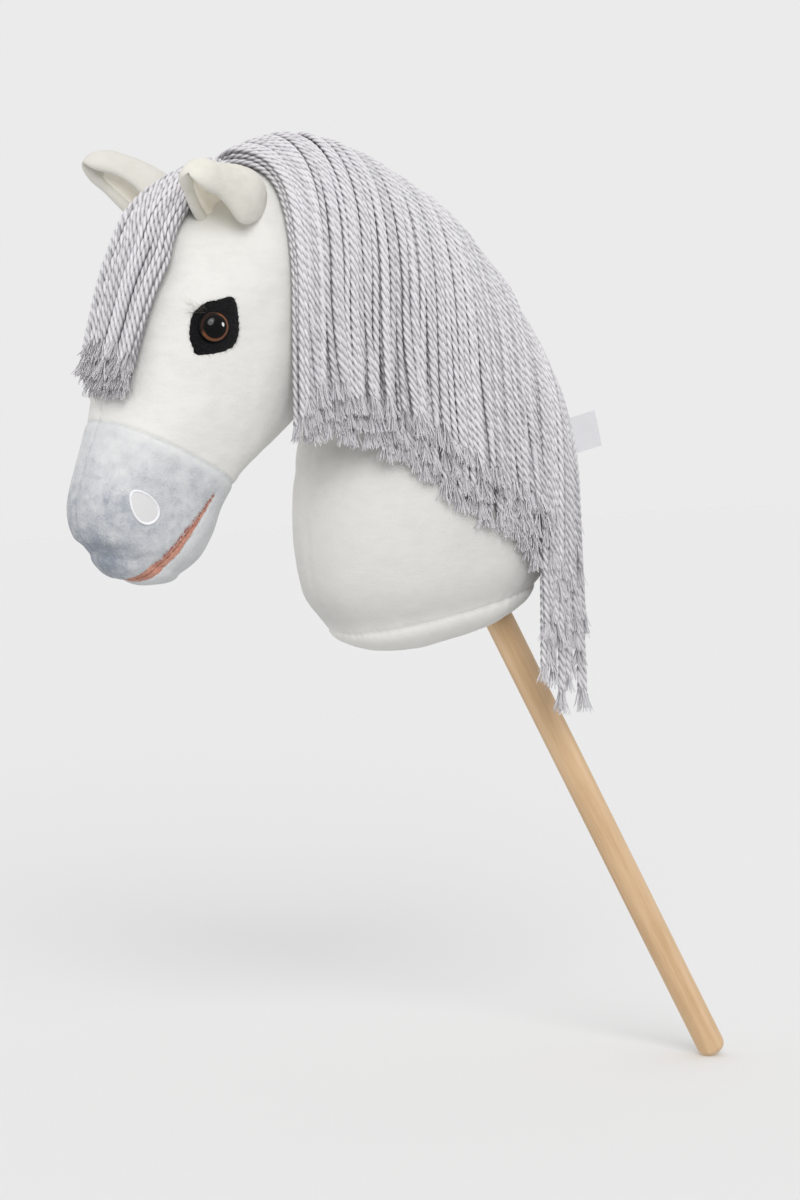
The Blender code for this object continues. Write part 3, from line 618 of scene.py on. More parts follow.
groove, shadow = muzzle_seam(distance_to(points, muzzle_line))
shift -= groove
points = points + normals * shift[:, None]
print("the cloth moves by", round(float(np.abs(shift).max()) / MM, 1), "mm at most")

# %% [markdown]
# Two numbers are stored for the plush: `grey` is the painted shadow in the muzzle's seam and on
# the row tucked under it, and `shade` is painted shade, darker low on the neck, which turns away from the light.

# %% The head's cover
inward = normal(us, np.full(AROUND, float(MUZZLE_SEAM))) * TUCKED_IN
tucked = surface(us, np.full(AROUND, MUZZLE_SEAM + 0.02)) - inward
points = np.concatenate([points, tucked, surface(0.0, -1.0)[None]])
rows = len(vs) + 1
faces = [tuple(f) for f in grid_faces(rows, AROUND, wrap=True)]
tip = rows * AROUND
faces += [(tip, i, (i + 1) % AROUND) for i in range(AROUND)]
faces += [tuple((rows - 1) * AROUND + i for i in range(AROUND))]
# painted shadow: in the groove of the muzzle's seam, and 0.2 where the cover is tucked under the muzzle
seam_painted_shadow = np.concatenate([shadow, np.full(AROUND + 1, 0.2)])
# painted shade: darker low on the neck, faded out towards the head and the base
neck_painted_shade = 0.24 + 0.34 * np.clip((500 * MM - points[:, 2]) / (80 * MM), 0, 1)
along_body = np.concatenate([v_grid, np.full(AROUND + 1, 20.0)])
neck_painted_shade *= np.clip((7 - along_body) / 3, 0, 1) * np.clip((along_body + 0.1) / 0.5, 0, 1)
head_cover = put("head_cover", points, faces, WHITE, values={"grey": seam_painted_shadow, "shade": neck_painted_shade})
print("head cover:", len(points), "points")

# %% [markdown]
# The pole goes in through the base. A cylinder along the pole's axis cuts the hole, 0.9 mm
# wider all round than the pole. Its upper end stops below the poll, inside the head.

# %% The hole for the pole
POLE_AXIS = np.array((-math.sin(POLE_TILT), 0.0, math.cos(POLE_TILT)))
POLE_RADIUS, HOLE_SPACE = 12.5 * MM, 0.9 * MM
HOLE_MIDDLE, HOLE_LENGTH = 345 * MM, 340 * MM
bpy.ops.mesh.primitive_cylinder_add(vertices=64, radius=POLE_RADIUS + HOLE_SPACE, depth=HOLE_LENGTH)
hole = bpy.context.object
hole.matrix_world = (Matrix.Translation(Vector(POLE_AXIS * HOLE_MIDDLE))
                     @ Vector((0, 0, 1)).rotation_difference(Vector(POLE_AXIS)).to_matrix().to_4x4())
cut = head_cover.modifiers.new("pole hole", "BOOLEAN")
cut.operation, cut.solver, cut.object = "DIFFERENCE", "EXACT", hole
apply_modifiers(head_cover)
bpy.data.objects.remove(hole)
print("head cover with its hole:", len(head_cover.data.polygons), "faces")

# %% [markdown]
# ## Muzzle, jaw and mouth
#
# The muzzle starts as the same loft. A wedge is cut out of it for the open mouth, and a voxel
# remesh followed by smoothing turns the sharp cut edges into soft lips.

# %% The slit of the mouth
CORNER, FRONT, MOUTH_GAP = MM * np.array((-554.9, 521.1)), MM * np.array((-607.9, 455.1)), 10.5 * MM
NOSTRIL_AT = MM * np.array((-618.0, 516.0))
RUN = FRONT - CORNER
UPWARD = np.array((RUN[1], -RUN[0])) / np.linalg.norm(RUN)


def slit(along, side, into=0.0):
    """A point (x, z) of the upper (1) or lower (-1) lip, moved into the open mouth."""
    opening = MOUTH_GAP / 2 * max(along + 0.12, 0) ** 0.6
    return CORNER + RUN * along + side * UPWARD * (opening - into)


def prism(name, outline, half_width=0.1):
    """A closed solid: an outline of (x, z) points, run from -Y to +Y."""
    count = len(outline)
    points = [(x, y, z) for y in (-half_width, half_width) for x, z in outline]
    faces = [tuple(range(count)), tuple(range(2 * count - 1, count - 1, -1))]
    faces += [((k + 1) % count, k, k + count, (k + 1) % count + count) for k in range(count)]
    return put(name, points, faces, WHITE)


print("the mouth is", round(float(np.linalg.norm(RUN)) / MM), "mm long and opens by", MOUTH_GAP / MM, "mm")

# %% [markdown]
# A Boolean modifier cuts one solid with another and leaves sharp edges. The Remesh modifier
# then builds the surface anew from small cubes, and smoothing melts the edges into lips.

# %% Cutting and softening
def combine(thing, other, operation="DIFFERENCE"):
    """Cuts another solid out of this one, or keeps what both share. The other is then removed."""
    boolean = thing.modifiers.new("shape", "BOOLEAN")
    boolean.operation, boolean.solver, boolean.object = operation, "EXACT", other
    apply_modifiers(thing)
    bpy.data.objects.remove(other)


def remesh(thing, size, smooth):
    """Builds the mesh anew from cubes of this size and smooths it, which rounds all its edges."""
    voxels = thing.modifiers.new("voxels", "REMESH")
    voxels.mode, voxels.voxel_size = "VOXEL", size
    relax = thing.modifiers.new("relax", "SMOOTH")
    relax.factor, relax.iterations = 0.5, smooth
    apply_modifiers(thing)
    thing.data.shade_smooth()


def body_solid(name, first, last, offset, around=200, along=150, inner=None):
    """A closed solid of the body from row first to row last, or to the chin's tip."""
    us = np.linspace(0, 2 * math.pi, around, endpoint=False)
    vs = np.linspace(first, min(last, LAST + 0.97), along)
    u_grid, v_grid = (g.ravel() for g in np.meshgrid(us, vs, indexing="xy"))
    points = skin_at(u_grid, v_grid, np.full(u_grid.shape, offset))
    if inner:
        points[:around] = skin_at(us, np.full(around, first), np.full(around, inner))
    return put(name, points, tube_faces(along, around), WHITE)


print("cutting tools: combine, remesh, body_solid")

# %% [markdown]
# The muzzle's own shape comes after the cut: a swelling on both lips, the centre seam of the
# nose, creases, and flat ground for the nostrils.

# %% The muzzle's shape
muzzle = body_solid("muzzle_cover", MUZZLE_SEAM - 0.12, LAST + 1, 0.0, inner=-4 * MM)
wedge = [slit(a, 1) for a in np.linspace(-0.12, 1.6, 19)] + [slit(a, -1) for a in np.linspace(1.6, -0.05, 18)]
combine(muzzle, prism("slit", wedge))
remesh(muzzle, 1.3 * MM, 6)
at = positions(muzzle)
from_slit = (at[:, [0, 2]] - CORNER) @ UPWARD
along_slit = (at[:, [0, 2]] - CORNER) @ RUN / (RUN @ RUN)
in_front = smoothstep(along_slit, -0.15, 0.25)
shift = lumps(at, 5.0) * 0.55 + folds(at, MUZZLE_FOLDS)
shift += seam(at[:, 1], 1.2 * MM, 0.9 * MM, 0.4 * MM) * (from_slit > 0)
shift += 1.3 * MM * bump_at(np.abs(from_slit) - 11 * MM, 7 * MM) * in_front
from_seam = distance_to(at, muzzle_line)
groove, shadow = muzzle_seam(from_seam)
shift -= groove
from_nostril = np.linalg.norm(at[:, [0, 2]] - NOSTRIL_AT, axis=1)
move(muzzle, shift * smoothstep(from_nostril, 14 * MM, 28 * MM))
print("muzzle:", len(muzzle.data.polygons), "faces")

# %% [markdown]
# The paint is a number at each point, worked out from where the point lies: most on the nose,
# less on the lower lip, and little near the seam, as an airbrush leaves it. Noise in two sizes
# makes it cloudy.
# The painted shadow in the groove of the seam and along the centre seam of the nose goes into the same number.

# %% The muzzle's paint
NOSE_TIP = MM * np.array((636.0, 12.0, 475.0))
nose = np.linalg.norm(np.abs(at) - NOSE_TIP, axis=1)
grey = 0.30 + 0.22 * smoothstep(at[:, 2], 572 * MM, 515 * MM)
grey += 0.37 * bump_at(nose, 17 * MM) + 0.2 * bump_at(nose, 36 * MM)
grey += 0.15 * wobble(at, 22 * MM, 31.0, 2) + 0.13 * wobble(at, 7 * MM, 35.0, 2)
grey -= 0.10 * bump_at(from_slit - 3 * MM, 10 * MM) * in_front * (from_slit > 0)
grey = np.where(from_slit < 0, 0.30 + 0.1 * (grey - 0.3), grey)
grey *= smoothstep(from_seam, 0.0, 12 * MM) * 0.7 + 0.3
# painted shadow: in the groove of the muzzle's seam and along the centre seam of the nose
grey += shadow + 0.08 * bump_at(at[:, 1], 1.4 * MM) * (from_slit > 0)
store(muzzle, "grey", np.clip(grey, 0, 1))
dress(muzzle, make_plush("plush_grey", paint(226, 226, 225), paint(216, 217, 219)))
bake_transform(muzzle)
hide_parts("muzzle_left", "muzzle_right", "jaw_panel", "jaw_stuffing")
print("grey on the muzzle:", round(float(grey.min()), 2), "to", round(float(grey.max()), 2))

# %% [markdown]
# The mouth is lined with coral fleece, one piece on each lip. Each is what the body's solid and
# a thin slab along the lip have in common, so it fills its lip from side to side and follows
# its curve. The upper piece rides on the head and the lower one on the jaw.

# %% The coral lining of the mouth
LINING_DEPTH = 5.2 * MM

for side, body, word in ((1, "head", "upper"), (-1, "jaw", "lower")):
    lining = body_solid("mouth_lining_" + word + "_fleece", MUZZLE_SEAM - 0.5, LAST + 1, -0.5 * MM, 120, 70)
    outline = [slit(a, side, -1.2 * MM) for a in np.linspace(-0.08, 1.5, 14)]
    outline += [slit(a, side, min(LINING_DEPTH, 0.47 * MOUTH_GAP * (a + 0.12) ** 0.6))
                for a in np.linspace(1.5, -0.1, 14)]
    combine(lining, prism("slab", outline), "INTERSECT")
    remesh(lining, 0.75 * MM, 3)
    at = positions(lining)
    move(lining, wobble(at, 3.2 * MM, 9.0, 2) * 0.55 * MM)
    dress(lining, CORAL)
    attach(lining, body)
    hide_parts("mouth_lining_" + word)
    print(lining.name, len(lining.data.polygons), "faces")

# %% [markdown]
# ## Pole
#
# A lathe turns a profile: distances along the pole and radii. The ends are rounded with a
# quarter circle, and the grain runs along the pole because the wood's noise is stretched there.

# %% A lathe, and the pole
SEGMENTS = 96


def turned(name, profile, start, axis, material, **options):
    """A solid turned round an axis. The profile's points are (distance along the axis, radius)."""
    axis = Vector(axis).normalized()
    side = axis.orthogonal().normalized()
    beside = np.array(axis.cross(side))
    angles = np.linspace(0, 2 * math.pi, SEGMENTS, endpoint=False)
    spokes = np.cos(angles)[:, None] * np.array(side) + np.sin(angles)[:, None] * beside
    profile = np.array(profile, float)
    along, radius = profile[:, 0][:, None, None], profile[:, 1][:, None, None]
    points = np.array(start) + along * np.array(axis) + radius * spokes
    return put(name, points, tube_faces(len(profile), SEGMENTS), material, **options)


END_ROUND, POLE_LENGTH = 8 * MM, 800 * MM
quarter = np.linspace(0, math.pi / 2, 14)
foot = [(END_ROUND * (1 - math.sin(a)), POLE_RADIUS - END_ROUND * (1 - math.cos(a))) for a in quarter[::-1]]
shaft = [(along, POLE_RADIUS) for along in np.linspace(30 * MM, POLE_LENGTH - 30 * MM, 30)]
head_end = [(POLE_LENGTH - along, radius) for along, radius in foot[::-1]]
pole = turned("pole_wood", foot + shaft + head_end, (0, 0, 0), POLE_AXIS, WOOD,
              body="pole", slot="wood", replaces=["pole"])
print("pole:", len(pole.data.polygons), "faces")

# %% [markdown]
# ## Things on the side of the head
#
# What lies on the head's side is placed by its x and z: a ray from the side finds the plush
# there. Patches and stitching are an outline that is laid down several times, at smaller and
# smaller sizes and at different heights over the plush.

# %% Placing things on the plush
SKIN_AROUND, SKIN_ALONG = 240, 320
grid_u, grid_v = np.meshgrid(np.linspace(0, 2 * math.pi, SKIN_AROUND, endpoint=False),
                             np.linspace(-0.97, LAST + 0.97, SKIN_ALONG))
skin_points = surface(grid_u.ravel(), grid_v.ravel())
SKIN = BVHTree.FromPolygons(skin_points.tolist(), grid_faces(SKIN_ALONG, SKIN_AROUND, wrap=True).tolist())


def side_at(x, z, side):
    """The plush and its outward normal, seen from the side."""
    hit, out, _, _ = SKIN.ray_cast(Vector((x, side * 0.3, z)), Vector((0, -side, 0)))
    out = np.array(out)
    return np.array(hit), out * (1 if out[1] * side > 0 else -1)


def curve(p0, p1, p2, p3, t):
    """A smooth curve from p1 to p2 that heeds the values before and after: Catmull-Rom."""
    return (p1 + (p2 - p0) * t / 2 + (p0 - 2.5 * p1 + 2 * p2 - p3 / 2) * t**2
            + (1.5 * p1 - p0 / 2 - 1.5 * p2 + p3 / 2) * t**3)


def smooth_loop(corners, steps):
    """A closed curve through the corners."""
    corners = np.array(corners, float)
    t = (np.arange(steps) / steps)[:, None]
    return np.concatenate([curve(*(corners[(i + k) % len(corners)] for k in (-1, 0, 1, 2)), t)
                           for i in range(len(corners))])


def layers_on(middle, outline, table, side, ridge=None):
    """The outline at each size of the table, laid on the plush and raised by its height in mm.
    ridge is added where a layer stands off the plush."""
    ridge = np.zeros(len(outline)) if ridge is None else ridge
    layers = []
    for size, height in table:
        spots = [side_at(x, z, side) for x, z in middle + outline * size]
        layers.append([hit + out * (height * MM + lift * (height > 0.5))
                       for (hit, out), lift in zip(spots, ridge)])
    return np.array(layers)


print("the skin for the rays:", len(skin_points), "points")

# %% [markdown]
# Felt fuzz, lashes and the loose pile of the lips are all the same thing: some hundred fine
# spikes in one mesh. That is lighter than hair particles.

# %% Short fibres
HAIR_RINGS, HAIR_CORNERS = 5, (0.0, 2.094, 4.189)


def hairs(name, roots, directions, lengths, radius, bend, material, **options):
    """Many fine fibres, each a three-sided spike of five rings. bend is added along the way."""
    roots, directions = np.asarray(roots, float), unit(directions)
    t = np.linspace(0, 1, HAIR_RINGS)[None, :, None]
    length = lengths[:, None, None]
    spine = roots[:, None] + directions[:, None] * t * length + bend[:, None] * t**2 * length
    side = unit(np.cross(directions, (0.31, 0.52, 0.79)))
    other = np.cross(directions, side)
    width = radius * (1 - 0.8 * t)
    rings = [spine + width * (side * math.cos(a) + other * math.sin(a))[:, None] for a in HAIR_CORNERS]
    starts = np.arange(len(roots)) * HAIR_RINGS * 3
    faces = (grid_faces(HAIR_RINGS, 3, wrap=True)[None] + starts[:, None, None]).reshape(-1, 4).tolist()
    for k in starts:
        faces += [[k + 2, k + 1, k], [k + 12, k + 13, k + 14]]
    return put(name, np.stack(rings, 2), faces, material, closed=False, **options)


print("a fibre has", HAIR_RINGS, "rings of", len(HAIR_CORNERS), "points")

# %% [markdown]
# ## Eyes and felt
#
# A safety eye is a dome on a shank that goes through the felt and the plush. It sits a little
# off the middle of its felt patch. The iris is stored as fainter towards the upper front, where
# the real one is hidden by the reflection of the room.

# %% The eyes
EYE_AT, GLASS_SHIFT = MM * np.array((-565.0, 660.0)), MM * np.array((-2.4, -1.4))
EYE_RADIUS, EYE_HEIGHT, EYE_SEAT, EYE_EDGE = 12.5 * MM, 9 * MM, 2.1 * MM, 1 * MM
for side, word in SIDES:
    seat, out = side_at(*(EYE_AT + GLASS_SHIFT), side)
    angles = np.linspace(0, math.pi / 2, 40)
    dome = [(EYE_SEAT - 9 * MM, 2.4 * MM), (EYE_SEAT, 2.4 * MM), (EYE_SEAT, EYE_RADIUS - 0.4 * MM),
            (EYE_SEAT + 0.4 * MM, EYE_RADIUS), (EYE_SEAT + EYE_EDGE, EYE_RADIUS)]
    dome += [(EYE_SEAT + EYE_EDGE + (EYE_HEIGHT - EYE_EDGE) * math.sin(a), EYE_RADIUS * math.cos(a))
             for a in angles[1:-1]]
    dome += [(EYE_SEAT + EYE_HEIGHT, 0.05 * MM)]
    rim = np.repeat([radius / EYE_RADIUS for _, radius in dome], SEGMENTS)
    glass = turned("eye_" + word + "_glass", dome, seat, out, EYE, body="head", slot="eye_plastic",
                   replaces=["eye_" + word], values={"rim": rim}, sharp=40)
    from_seat = unit(positions(glass) - seat)
    store(glass, "iris", 0.12 + 0.88 * smoothstep(from_seat @ unit((-0.75, 0.0, 0.66)), 0.62, 0.30))
    print(glass.name, "stands", round(EYE_HEIGHT / MM), "mm off its seat")

# %% [markdown]
# The felt patch is cut by hand: a smooth outline through ten corners, made ragged by noise, and
# fibres that stand off its rim. The lashes are thirty thin hairs above its front corner.

# %% Felt patches and lashes
FELT_CORNERS = ((16.5, 21), (20, 2), (18, -12), (9, -20), (-13, -24), (-18, -17), (-20, -6), (-17.5, 8),
                (-9, 16.5), (4, 20.5))
FELT_LAYERS = ((0.16, 1.7), (0.5, 1.7), (0.8, 1.6), (0.94, 1.2), (1.0, 0.35), (1.0, 0.05), (0.16, 0.05))
FUZZ, LASHES = 1500, 30
random = np.random.default_rng(SEED)
for side, word in SIDES:
    outline = smooth_loop(FELT_CORNERS, 26) * MM
    flat = np.stack([outline[:, 0], outline[:, 1], np.zeros(len(outline))], 1)
    ragged = wobble(flat, 2.5 * MM, 4.0 + side, 2) * 0.03
    outline = outline * (1 + ragged)[:, None]
    layers = layers_on(EYE_AT, outline, FELT_LAYERS, side)
    put("eye_patch_" + word + "_felt", layers, ring_faces(*layers.shape[:2]), FELT, body="head", slot="black_felt",
        replaces=["eye_patch_" + word])
    spot = random.integers(0, len(outline), FUZZ)
    reach = random.uniform(0.55, 1.0, FUZZ) ** 0.4
    found = [side_at(*(EYE_AT + outline[k] * r), side) for k, r in zip(spot, reach)]
    roots = [hit + n * 0.8 * MM for hit, n in found]
    outs = np.array([n for _, n in found])
    away = np.stack([outline[spot, 0], np.zeros(FUZZ), outline[spot, 1]], 1)
    lean = unit(away) * random.uniform(0.2, 1.4, (FUZZ, 1)) + random.normal(0, 0.45, (FUZZ, 3)) + outs * 0.8
    hairs("eye_patch_" + word + "_fuzz", roots, lean, random.uniform(0.8, 2.6, FUZZ) * MM, 0.07 * MM,
          random.normal(0, 0.3, (FUZZ, 3)), FELT, body="head", slot="black_felt")
    spot = EYE_AT + MM * np.stack([random.uniform(-19, -5, LASHES), random.uniform(9, 17, LASHES)], 1)
    roots = [hit + n * 1.0 * MM for hit, n in (side_at(x, z, side) for x, z in spot)]
    lean = np.array([(-1.0, 0.25 * side, 0.55)]) + random.normal(0, 0.32, (LASHES, 3)) * (1, 0.3, 1)
    hairs("lashes_" + word, roots, lean, random.uniform(7, 16, LASHES) * MM, 0.09 * MM,
          random.normal(0, 0.25, (LASHES, 3)), LASH, body="head", slot="black_felt")
    print("felt patch", word, "with", FUZZ, "fibres and", LASHES, "lashes")

# %% [markdown]
# ## Nostrils
#
# Each nostril is an egg-shaped piece of pale cloth, sewn down by a ring of satin stitching. The
# ring is one closed band whose top rises and falls once for each stitch.

# %% The nostrils
NOSTRIL_SIZE, NOSTRIL_TURN = MM * np.array((20.0, 31.5)), math.radians(33)
STITCHES, PER_STITCH, DISC_STEP = 84, 6, 6
RING_LAYERS = ((0.84, 0.2), (0.86, 0.9), (0.89, 1.3), (0.93, 1.4), (0.97, 1.15), (1.0, 0.5), (1.0, 0.1),
               (0.84, 0.1))
DISC_LAYERS = ((0.06, 0.35), (0.3, 0.4), (0.55, 0.45), (0.76, 0.5), (0.87, 0.5), (0.87, 0.2), (0.06, 0.1))
for side, word in SIDES:
    angles = np.linspace(0, 2 * math.pi, STITCHES * PER_STITCH, endpoint=False)
    egg = 1 - 0.24 * np.sin(angles)
    a, b = NOSTRIL_SIZE[0] / 2 * np.cos(angles) * egg, NOSTRIL_SIZE[1] / 2 * np.sin(angles)
    outline = np.stack([a * math.cos(NOSTRIL_TURN) - b * math.sin(NOSTRIL_TURN),
                        a * math.sin(NOSTRIL_TURN) + b * math.cos(NOSTRIL_TURN)], 1)
    ridge = 0.16 * MM * np.abs(np.sin(angles * STITCHES / 2)) + random.normal(0, 0.02 * MM, len(angles))
    layers = layers_on(NOSTRIL_AT, outline, RING_LAYERS, side, ridge)
    put("nostril_" + word + "_stitching", layers, ring_faces(*layers.shape[:2]), THREAD, body="head", slot="satin",
        replaces=["nostril_" + word])
    disc = layers_on(NOSTRIL_AT, outline[::DISC_STEP], DISC_LAYERS, side)
    put("nostril_" + word + "_cloth", disc, tube_faces(*disc.shape[:2]), NOSTRIL_CLOTH, body="head", slot="satin")
print("nostrils: stitched rings of", STITCHES, "stitches")

# %% [markdown]
# ## Loose pile along the lips
#
# Where the plush and the fleece are cut at the mouth, their fibres stand out and cross the
# edge. Three rows of short hairs do this: coral ones that lie up over the upper lip, and pale
# ones that hang over the lining from the upper lip and from the chin.

# %% Loose pile along the lips
LIP_PILE = (("coral_fuzz", CORAL_PILE, 1, 0.9, 1.0, 2.0, 4.2, 190),
            ("lip_fuzz", PILE, 1, -1.2, -1.0, 1.0, 2.6, 240),
            ("chin_fuzz", PILE, -1, -1.2, 1.0, 0.8, 2.0, 200))
for side, word in SIDES:
    for name, finish, lip, inward, push, low, high, count in LIP_PILE:
        runs = random.uniform(-0.06, 0.84, count)
        spots = [slit(a, lip, inward * MM * random.uniform(0.3, 1.2)) for a in runs]
        found = [side_at(x, z, side) for x, z in spots]
        lean = np.array((UPWARD[0] * push, 0.5 * side, UPWARD[1] * push)) + random.normal(0, 0.4, (count, 3))
        roots = [hit - n * 0.2 * MM for hit, n in found]
        hairs(name + "_" + word, roots, lean, random.uniform(low, high, count) * MM, 0.26 * MM,
              random.normal(0, 0.3, (count, 3)), finish, body="head" if lip > 0 else "jaw", slot="plush_white")
print("loose pile on the lips:", sum(row[-1] for row in LIP_PILE), "hairs on each side")

# %% [markdown]
# ## Ears
#
# An ear is a plush cone that is open to the front. Each cross-section is an arc with a
# thickness and rounded ends, and the sections shrink towards the tip. The two ears are folded
# differently, so each has its own table of six sections from its root to its tip, in
# millimetres and degrees: how deep and wide it is, and how far round its two edges reach.

# %% The shape of an ear
EAR_BACK, EAR_ROOT = (0.40, 0.0, 0.92), -0.35
EAR_ROWS, EAR_HALF, EAR_BEND = 70, 46, 9
EARS = {
    "left": {"base": (-533, 48, 751), "tip": (-598, 86, 779), "depth": (31, 36, 33, 26, 20, 16),
             "width": (14, 21, 24, 21, 17, 14), "inner": (178, 152, 128, 126, 106, 92),
             "outer": (45, 88, 108, 100, 92, 90)},
    "right": {"base": (-537, 52, 747), "tip": (-594, 86, 791), "depth": (18, 25, 29, 28, 23, 17),
              "width": (20, 23, 22, 18, 15, 13), "inner": (178, 145, 94, 74, 74, 86),
              "outer": (160, 135, 120, 112, 104, 98)},
}


def ease(values, t):
    """Smooth values between equally spaced ones."""
    values = np.array(values, float)
    t = np.clip(t, 0, 1) * (len(values) - 1)
    i = np.minimum(t.astype(int), len(values) - 2)
    return curve(*(values[np.clip(i + k, 0, len(values) - 1)] for k in (-1, 0, 1, 2)), t - i)


def ear_ends(side, word):
    """The middle of the ear's root and its tip."""
    return (MM * np.array(EARS[word][key], float) * (1, side, 1) for key in ("base", "tip"))


print("ears:", ", ".join(EARS))

# %% [markdown]
# The shell is built ring by ring. A ring runs along the outer face from the inner edge to the
# outer edge, round that edge, back along the inside, and round the other edge. The last rings
# shrink, which closes the tip.

# %% The shell of an ear
def ear_shell(name, side, word, outset, thickness, short, material, slot, filled=0.0, **options):
    """A thick, open cone. outset is how far the outer face lies inside the ear's own outline, and
    short how many degrees the edges stay back. filled is the share of the ear's depth that the
    cloth takes up in its middle, where it is creased."""
    ear, rows, half, bend = EARS[word], EAR_ROWS, EAR_HALF, EAR_BEND
    base, tip = ear_ends(side, word)
    length = np.linalg.norm(tip - base)
    forward = (tip - base) / length
    back = unit(np.array(EAR_BACK) - forward * np.dot(EAR_BACK, forward))
    across = np.cross(forward, back)
    across *= math.copysign(1, across[1] * side)
    t = 1 - (1 - np.linspace(0, 1, rows)) ** 1.25
    end = np.sqrt(np.clip(1 - np.clip((t - 0.84) / 0.16, 0, 1) ** 2, 0, 1)) * 0.88 + 0.12
    along = (EAR_ROOT + (1.03 - EAR_ROOT) * t - short * 0.0025) * length
    depth, width = (ease(ear[key], t) * MM * end for key in ("depth", "width"))
    inner, outer = (np.radians(ease(ear[key], t) - short) for key in ("inner", "outer"))
    solid = smoothstep(t, 0.72, 0.9) * (filled == 0)
    thick = np.minimum(thickness, depth * 0.45)
    thick += (np.minimum(depth, width) * 0.8 - thick) * solid
    deep = np.maximum(thick, depth * filled)
    swing = np.concatenate([np.linspace(0, 1, half), np.ones(bend), np.linspace(1, 0, half), np.zeros(bend)])
    turn = np.linspace(0, math.pi, bend + 2)[1:-1]
    radial = np.concatenate([np.full(half, 1.0), np.cos(turn), np.full(half, -1.0), -np.cos(turn)])
    beyond = np.concatenate([np.zeros(half), np.sin(turn), np.zeros(half), -np.sin(turn)])
    layers = []
    for k in range(rows):
        r, middle = thick[k] / 2, outset + thick[k] / 2
        size = max(depth[k] - middle, 4 * MM)
        angle = -inner[k] + (inner[k] + outer[k]) * swing + beyond * r / size
        w = np.maximum(width[k] - middle + radial * r, 0.2 * MM)
        d = np.maximum(depth[k] - outset - deep[k] / 2 + radial * deep[k] / 2, 0.2 * MM)
        layers.append(base + forward * along[k] + back * (d * np.cos(angle))[:, None]
                      + across * (w * np.sin(angle))[:, None])
    count = len(layers[0])
    faces = [tuple(f) for f in grid_faces(rows, count, wrap=True)]
    for start in (0, (rows - 1) * count):
        ring = [start + i for i in range(count)]
        back_edge = 2 * half + bend - 1
        faces += [(ring[i], ring[i + 1], ring[back_edge - 1 - i], ring[back_edge - i]) for i in range(half - 1)]
        faces += [tuple(ring[half - 1:half + bend + 1]), tuple(ring[back_edge:] + ring[:1])]
    return put(name, np.array(layers), faces, material, **options, slot=slot)


print("points round an ear's section:", 2 * (EAR_HALF + EAR_BEND))

# %% [markdown]
# The lining is the same shape, made smaller. The right ear faces away from the light, so both
# of its cloths get some painted shade, a duller white that is stored as `shade`.

# %% The ears and their linings
# painted shade: the right ear faces away from the light, so its plush and lining are darkened through the stored
# shade
EAR_SHADE = {"left": (0.0, 0.0), "right": (0.35, 0.3)}

for side, word in SIDES:
    ear = ear_shell("ear_" + word + "_plush", side, word, 0.0, 8.5 * MM, 0, CREAM, "plush_white",
                    replaces=["ear_" + word])
    move(ear, lumps(positions(ear), 12.0) * 0.45)
    lining = ear_shell("ear_lining_" + word + "_plush", side, word, 8.0 * MM, 1.8 * MM, 7, LINING, "plush_cream",
                       0.3, replaces=["ear_lining_" + word])
    base, tip = ear_ends(side, word)
    forward = unit(tip - base)
    for piece, shade in zip((ear, lining), EAR_SHADE[word]):
        store(piece, "shade", np.full(len(piece.data.vertices), shade))
        tuple(base - forward * 4 * MM)
        tuple(base + forward * 24 * MM)
        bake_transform(piece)
    print(ear.name, len(ear.data.polygons), "faces")

# %% [markdown]
# ## Cords
#
# A cord is three plies twisted together. Its cross-section is three overlapping circles, and
# the section turns a full round every 21.5 mm along the cord. At the cut end the plies open
# into a tassel of fine fibres. Layers of such cords make the mane and the forelock.

# %% The section of a cord
PITCH, RINGS_EVERY, PLY_OFFSET, PLY_RADIUS = 21.5 * MM, 2.1 * MM, 0.46, 0.56


def cord_section():
    """Twelve points of the trefoil outline of three plies: their angles and their radii."""
    angles, radii = [], []
    for ply in range(3):
        for step in (-60, -28, 0, 28):
            f = math.radians(step)
            angles.append(f + ply * 2 * math.pi / 3)
            radii.append(PLY_OFFSET * math.cos(f) + math.sqrt(PLY_RADIUS**2 - (PLY_OFFSET * math.sin(f)) ** 2))
    return np.array(angles), np.array(radii)


SECTION_ANGLES, SECTION_RADII = cord_section()
GROOVE = (SECTION_RADII - SECTION_RADII.min()) / (SECTION_RADII.max() - SECTION_RADII.min())


print("points round a cord:", len(SECTION_ANGLES))

# %% [markdown]
# At its cut end a cord opens into a broom: thirty three-sided fibres that start inside the cord
# and lean outwards, the outer ones most. Some are dark, most are light, and all are painted darker
# at the root and lighter towards their ends, as the fibres shade one another inside the broom, so
# that a tassel shows single fibres and not one grey tuft.

# %% The cut end of a cord
FIBRES, FIBRE_LIGHTS = 30, (0.5, 1.0, 1.3, 1.55)


def tassel(random, end, run, side, other, radius, length, level):
    """The points and tones of each fibre of a tassel with a flat end."""
    turn = random.uniform(0, 2 * math.pi, FIBRES)
    out = random.uniform(0, 1.0, FIBRES) ** 0.5
    spoke = np.cos(turn)[:, None] * side + np.sin(turn)[:, None] * other
    start = end - run * 2.5 * MM + spoke * (out * radius * 0.9)[:, None]
    t = np.linspace(0, 1, HAIR_RINGS)[None, :, None]
    reach = (length * random.uniform(0.82, 1.06, FIBRES))[:, None, None]
    spread = random.uniform(0.22, 0.46)
    lean = spoke * (out * spread)[:, None] + random.normal(0, 0.035, (FIBRES, 3))
    spine = start[:, None] + run * t * reach + lean[:, None] * t**1.5 * reach
    spine += random.normal(0, 0.3 * MM, spine.shape) * t
    width = radius * 0.155 * (1 - 0.3 * t)
    corners = [spine + width * (math.cos(a) * side + math.sin(a) * other) for a in HAIR_CORNERS]
    shade = level * random.uniform(0.85, 1.45)
    # painted shade and light: each fibre darker at its root and lighter towards its tip
    lights = [shade * random.choice(FIBRE_LIGHTS) * np.linspace(0.62, 1.35, HAIR_RINGS) for _ in range(FIBRES)]
    return np.stack(corners, 2), [np.repeat(light, 3) for light in lights]


print("a tassel has", FIBRES, "fibres")
